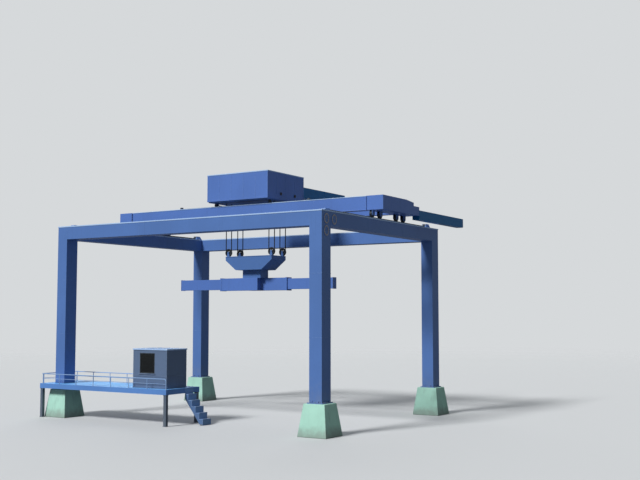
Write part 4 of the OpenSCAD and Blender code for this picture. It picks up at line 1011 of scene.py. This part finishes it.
dress("house_cover_strips", strips, bridge_paint, "trolley")
coat(cap_highlight_paint, "house_roof", edge=0.006)
roof_seams("house_roof", 0.6, "trolley")


# House vents: two short dark pipes through the right side of the machine house, each with slats
# across its mouth and four screws in its rim.
VENT_RADIUS = 0.095
VENT_MOUTH = 0.066
VENT_SCREW_RING = (0.0815, 0.0815)
SLAT_STEP = 0.026
vent_low, vent_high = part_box("house_vents")
vent_paint = painted_steel("black vent paint", (34, 39, 44), (80, 86, 92), roughness=0.5, streaks=0.2)
coat(vent_paint, "house_vents")
slats = []
screws = []
vent_x = vent_high.x
vent_z = (vent_low.z + vent_high.z) / 2
for y in (vent_low.y + VENT_RADIUS, vent_high.y - VENT_RADIUS):
    for step in (-2, -1, 0, 1, 2):
        rise = step * SLAT_STEP
        z = vent_z + rise
        reach = math.sqrt(VENT_MOUTH ** 2 - rise ** 2)
        slat = bar((vent_x - 0.026, y - reach, z - 0.002), (vent_x - 0.006, y + reach, z + 0.002), 0.0008)
        pick(slat, "FACE", lambda centre, normal: normal.x > 0.9)
        bpy.ops.transform.translate(value=(0, 0, -0.012))
        leave()
        slats.append(slat)
    screws += round_places((vent_x, y, vent_z), VENT_SCREW_RING, 4, math.pi / 4)
dress("vent_slats", slats, vent_paint, "trolley")
bolt_on("vent_screws", "trolley", (0.012, RIGHT, screws))


# Trolley wheelsets: two axles, each with a flanged wheel on both ends, of the same steel as the
# bridge wheels.
coat(wheel_metal, "wheelset_left", "wheelset_right")


# Hoist ropes: eight falls of six-strand wire rope, black with grease, from the trolley bed down
# to the four sheaves, and a half turn of the same rope under each sheave.
ROPE_RADIUS = 0.032
STRAND_RADIUS = 0.0108
ROPE_LAY = 0.44
SHEAVE_RADIUS = 0.215
rope_grease, tree, shader = new_material("greased wire rope", 0.55, 0.3)
tree.links.new(clouded(tree, paint((15, 17, 20)), paint((38, 41, 44)), 30.0, 0.4, 0.7), shader["Base Color"])
set_relief(tree, shader, clouds(tree, 260.0, 0.3, 0.7), 0.001)


def wire_rope(length, steps):
    """Six strands laid round each other upwards from the origin, with closed ends."""
    strands = []
    reach = ROPE_RADIUS - STRAND_RADIUS
    for turn in [math.tau * strand / 6 for strand in range(6)]:
        only()
        bpy.ops.mesh.primitive_circle_add(vertices=8, radius=STRAND_RADIUS, fill_type="NOTHING",
                                          location=(reach * math.cos(turn), reach * math.sin(turn), 0))
        strands.append(settle())
    rope = join(strands)
    twist = rope.modifiers.new("lay", "SCREW")
    twist.angle = math.tau * length / ROPE_LAY
    twist.screw_offset = length
    twist.steps = twist.render_steps = steps
    only(rope)
    bpy.ops.object.modifier_apply(modifier="lay")
    pick(rope, "EDGE", lambda centre, along: True)
    bpy.ops.mesh.fill_holes(sides=0)
    bpy.ops.mesh.normals_make_consistent(inside=False)
    leave()
    bpy.ops.object.shade_smooth_by_angle(angle=math.radians(60))
    return rope


sheave_middles = [sum(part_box(f"sheave_{number}"), Vector()) / 2 for number in range(1, 5)]
sheave_z = sheave_middles[0].z
bed_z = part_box("hoist_ropes")[1].z
fall_places = [(middle.x + side * SHEAVE_RADIUS, middle.y, sheave_z)
               for middle in sheave_middles for side in (-1, 1)]
falls = copies(wire_rope(bed_z - sheave_z, 96), fall_places)
falls = dress("rope_falls", [falls], rope_grease, None)
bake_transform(falls)
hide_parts("hoist_ropes")

loop = wire_rope(math.pi * SHEAVE_RADIUS, 20)
for vertex in loop.data.vertices:
    turn = vertex.co.z / SHEAVE_RADIUS
    reach = SHEAVE_RADIUS + vertex.co.x
    vertex.co = (-reach * math.cos(turn), vertex.co.y, -reach * math.sin(turn))
pick(loop, "FACE", lambda centre, normal: True)
bpy.ops.mesh.normals_make_consistent(inside=False)
leave()
loops = dress("rope_half_turns", [copies(loop, sheave_middles)], rope_grease, "hoist")
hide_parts("rope_loops")


# Sheaves: four turned rope wheels with a round groove, a hub and a web with six holes, each fixed
# on its pin, dark with rope grease.
sheave_metal = rolled_steel("greased sheave steel", (30, 34, 38), (58, 62, 66))
coat(sheave_metal, *[f"sheave_{number}" for number in range(1, 5)])


# Head block: a deep tapered box that the ropes carry, with a plate on top for the sheaves'
# bracket plates and a square neck down to the spreader. Round covers close the pin holes.
PIN_COVER_SEAT = 0.0753
PIN_COVER_RADIUS = 0.052
PIN_COVER_THICKNESS = 0.012
PIN_SCREW_RING = (0.039, 0.039)
coat(head_paint, "head_block", edge=0.006)
coat(head_paint, "sheave_brackets", edge=0.002)
covers = []
rows = []
for side, turn in ((-1, FRONT), (1, REAR)):
    places = []
    for middle in sheave_middles:
        start = middle + Vector((0, side * PIN_COVER_SEAT, 0))
        end = start + Vector((0, side * PIN_COVER_THICKNESS, 0))
        covers.append(rod(start, end, PIN_COVER_RADIUS, 24))
        places += round_places(end, PIN_SCREW_RING, 4, axis=1)
    rows.append((0.012, turn, places))
dress("pin_covers", covers, head_paint, "hoist")
bolt_on("pin_cover_screws", "hoist", *rows)


# Spreader: two box arms that slide in guide sleeves side by side. Collars stiffen the sleeves'
# mouths, and a thick plate is bolted on the outer end of each arm.
PLATE_BOLT = 0.026
coat(bridge_paint, "guide_sleeves", "spreader_arm_left", "spreader_arm_right", edge=0.005)
for name, body, turn in (("spreader_arm_left", "arm_left", LEFT), ("spreader_arm_right", "arm_right", RIGHT)):
    low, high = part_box(name)
    face = high.x if turn == RIGHT else low.x
    bolt_on(name + "_bolts", body, (PLATE_BOLT, turn, border_places(low, high, 0, face, 0.045, 4, 6)))


# Studio: a pale floor that melts into a backdrop of the same tone, a broad soft key light from the
# front left, a weak fill from behind left, and the camera where the photographer stood.
CAMERA_PLACE = (37.067, -51.739, 6.440)
CAMERA_TURN = (94.3715, 0.0, 32.0947)
CAMERA_LENS = 54.42
FLOOR_TONE = (214, 217, 219)
FLOOR_PAINT = (207, 209, 210)
FLOOR_BOUNCE = (112, 116, 120)
AIR_TONE = (0.86, 0.93, 1.0, 1.0)

only()
bpy.ops.mesh.primitive_circle_add(vertices=96, radius=160, fill_type="NGON", location=(0, 0, -0.002))
floor = settle()
floor.name = floor.data.name = "studio_floor"
floor_finish, tree, shader = new_material("pale studio floor", 0.9)
looked_at = add_node(tree, "LightPath", {})["Is Camera Ray"]
tree.links.new(mix_colour(tree, looked_at, paint(FLOOR_BOUNCE), paint(FLOOR_PAINT)), shader["Base Color"])
away = add_node(tree, "VectorMath", {0: own_place(tree)}, operation="LENGTH")["Value"]
from_below = add_node(tree, "NewGeometry", {})["Backfacing"]
fade = math_node(tree, "MAXIMUM", smooth_range(tree, away, 30.0, 140.0),
                 math_node(tree, "MULTIPLY", from_below, looked_at))
open_air = add_node(tree, "BsdfTransparent", {})[0]
ground = tree.nodes["Principled BSDF"].outputs[0]
whole = add_node(tree, "MixShader", {0: fade, 1: ground, 2: open_air})[0]
tree.links.new(whole, tree.nodes["Material Output"].inputs["Surface"])
floor.data.materials.append(floor_finish)

scene = bpy.context.scene
scene.world = bpy.data.worlds.new("studio air")
scene.world.use_nodes = True
tree = scene.world.node_tree
seen = add_node(tree, "LightPath", {})
direct = math_node(tree, "MAXIMUM", seen["Is Camera Ray"], seen["Is Transmission Ray"])
direct = math_node(tree, "MAXIMUM", direct, math_node(tree, "MULTIPLY", seen["Is Glossy Ray"], 0.36))
fill = add_node(tree, "Background", {"Color": AIR_TONE, "Strength": 0.22})[0]
backdrop = add_node(tree, "Background", {"Color": paint(FLOOR_TONE), "Strength": 1.0})[0]
air = add_node(tree, "MixShader", {0: direct, 1: fill, 2: backdrop})[0]
tree.links.new(air, tree.nodes["World Output"].inputs["Surface"])


def sun(name, strength, softness, azimuth, elevation):
    """A broad far light: azimuth is where it stands, from the front (0) towards the right (90)."""
    lamp = bpy.data.lights.new(name, "SUN")
    lamp.energy = strength
    lamp.angle = math.radians(softness)
    holder = bpy.data.objects.new(name, lamp)
    scene.collection.objects.link(holder)
    azimuth, elevation = math.radians(azimuth), math.radians(elevation)
    back = Vector((math.sin(azimuth) * math.cos(elevation), -math.cos(azimuth) * math.cos(elevation),
                   math.sin(elevation)))
    holder.rotation_euler = back.to_track_quat("Z", "Y").to_euler()


sun("key light", 3.25, 14, -14, 42)
sun("fill light", 0.6, 40, 215, 35)
camera_data = bpy.data.cameras.new("camera")
camera_data.lens = CAMERA_LENS
camera_data.sensor_width = 36
camera_data.clip_end = 500
camera = bpy.data.objects.new("camera", camera_data)
camera.location = CAMERA_PLACE
camera.rotation_euler = [math.radians(part) for part in CAMERA_TURN]
scene.collection.objects.link(camera)
scene.camera = camera
scene.view_settings.view_transform = "Standard"
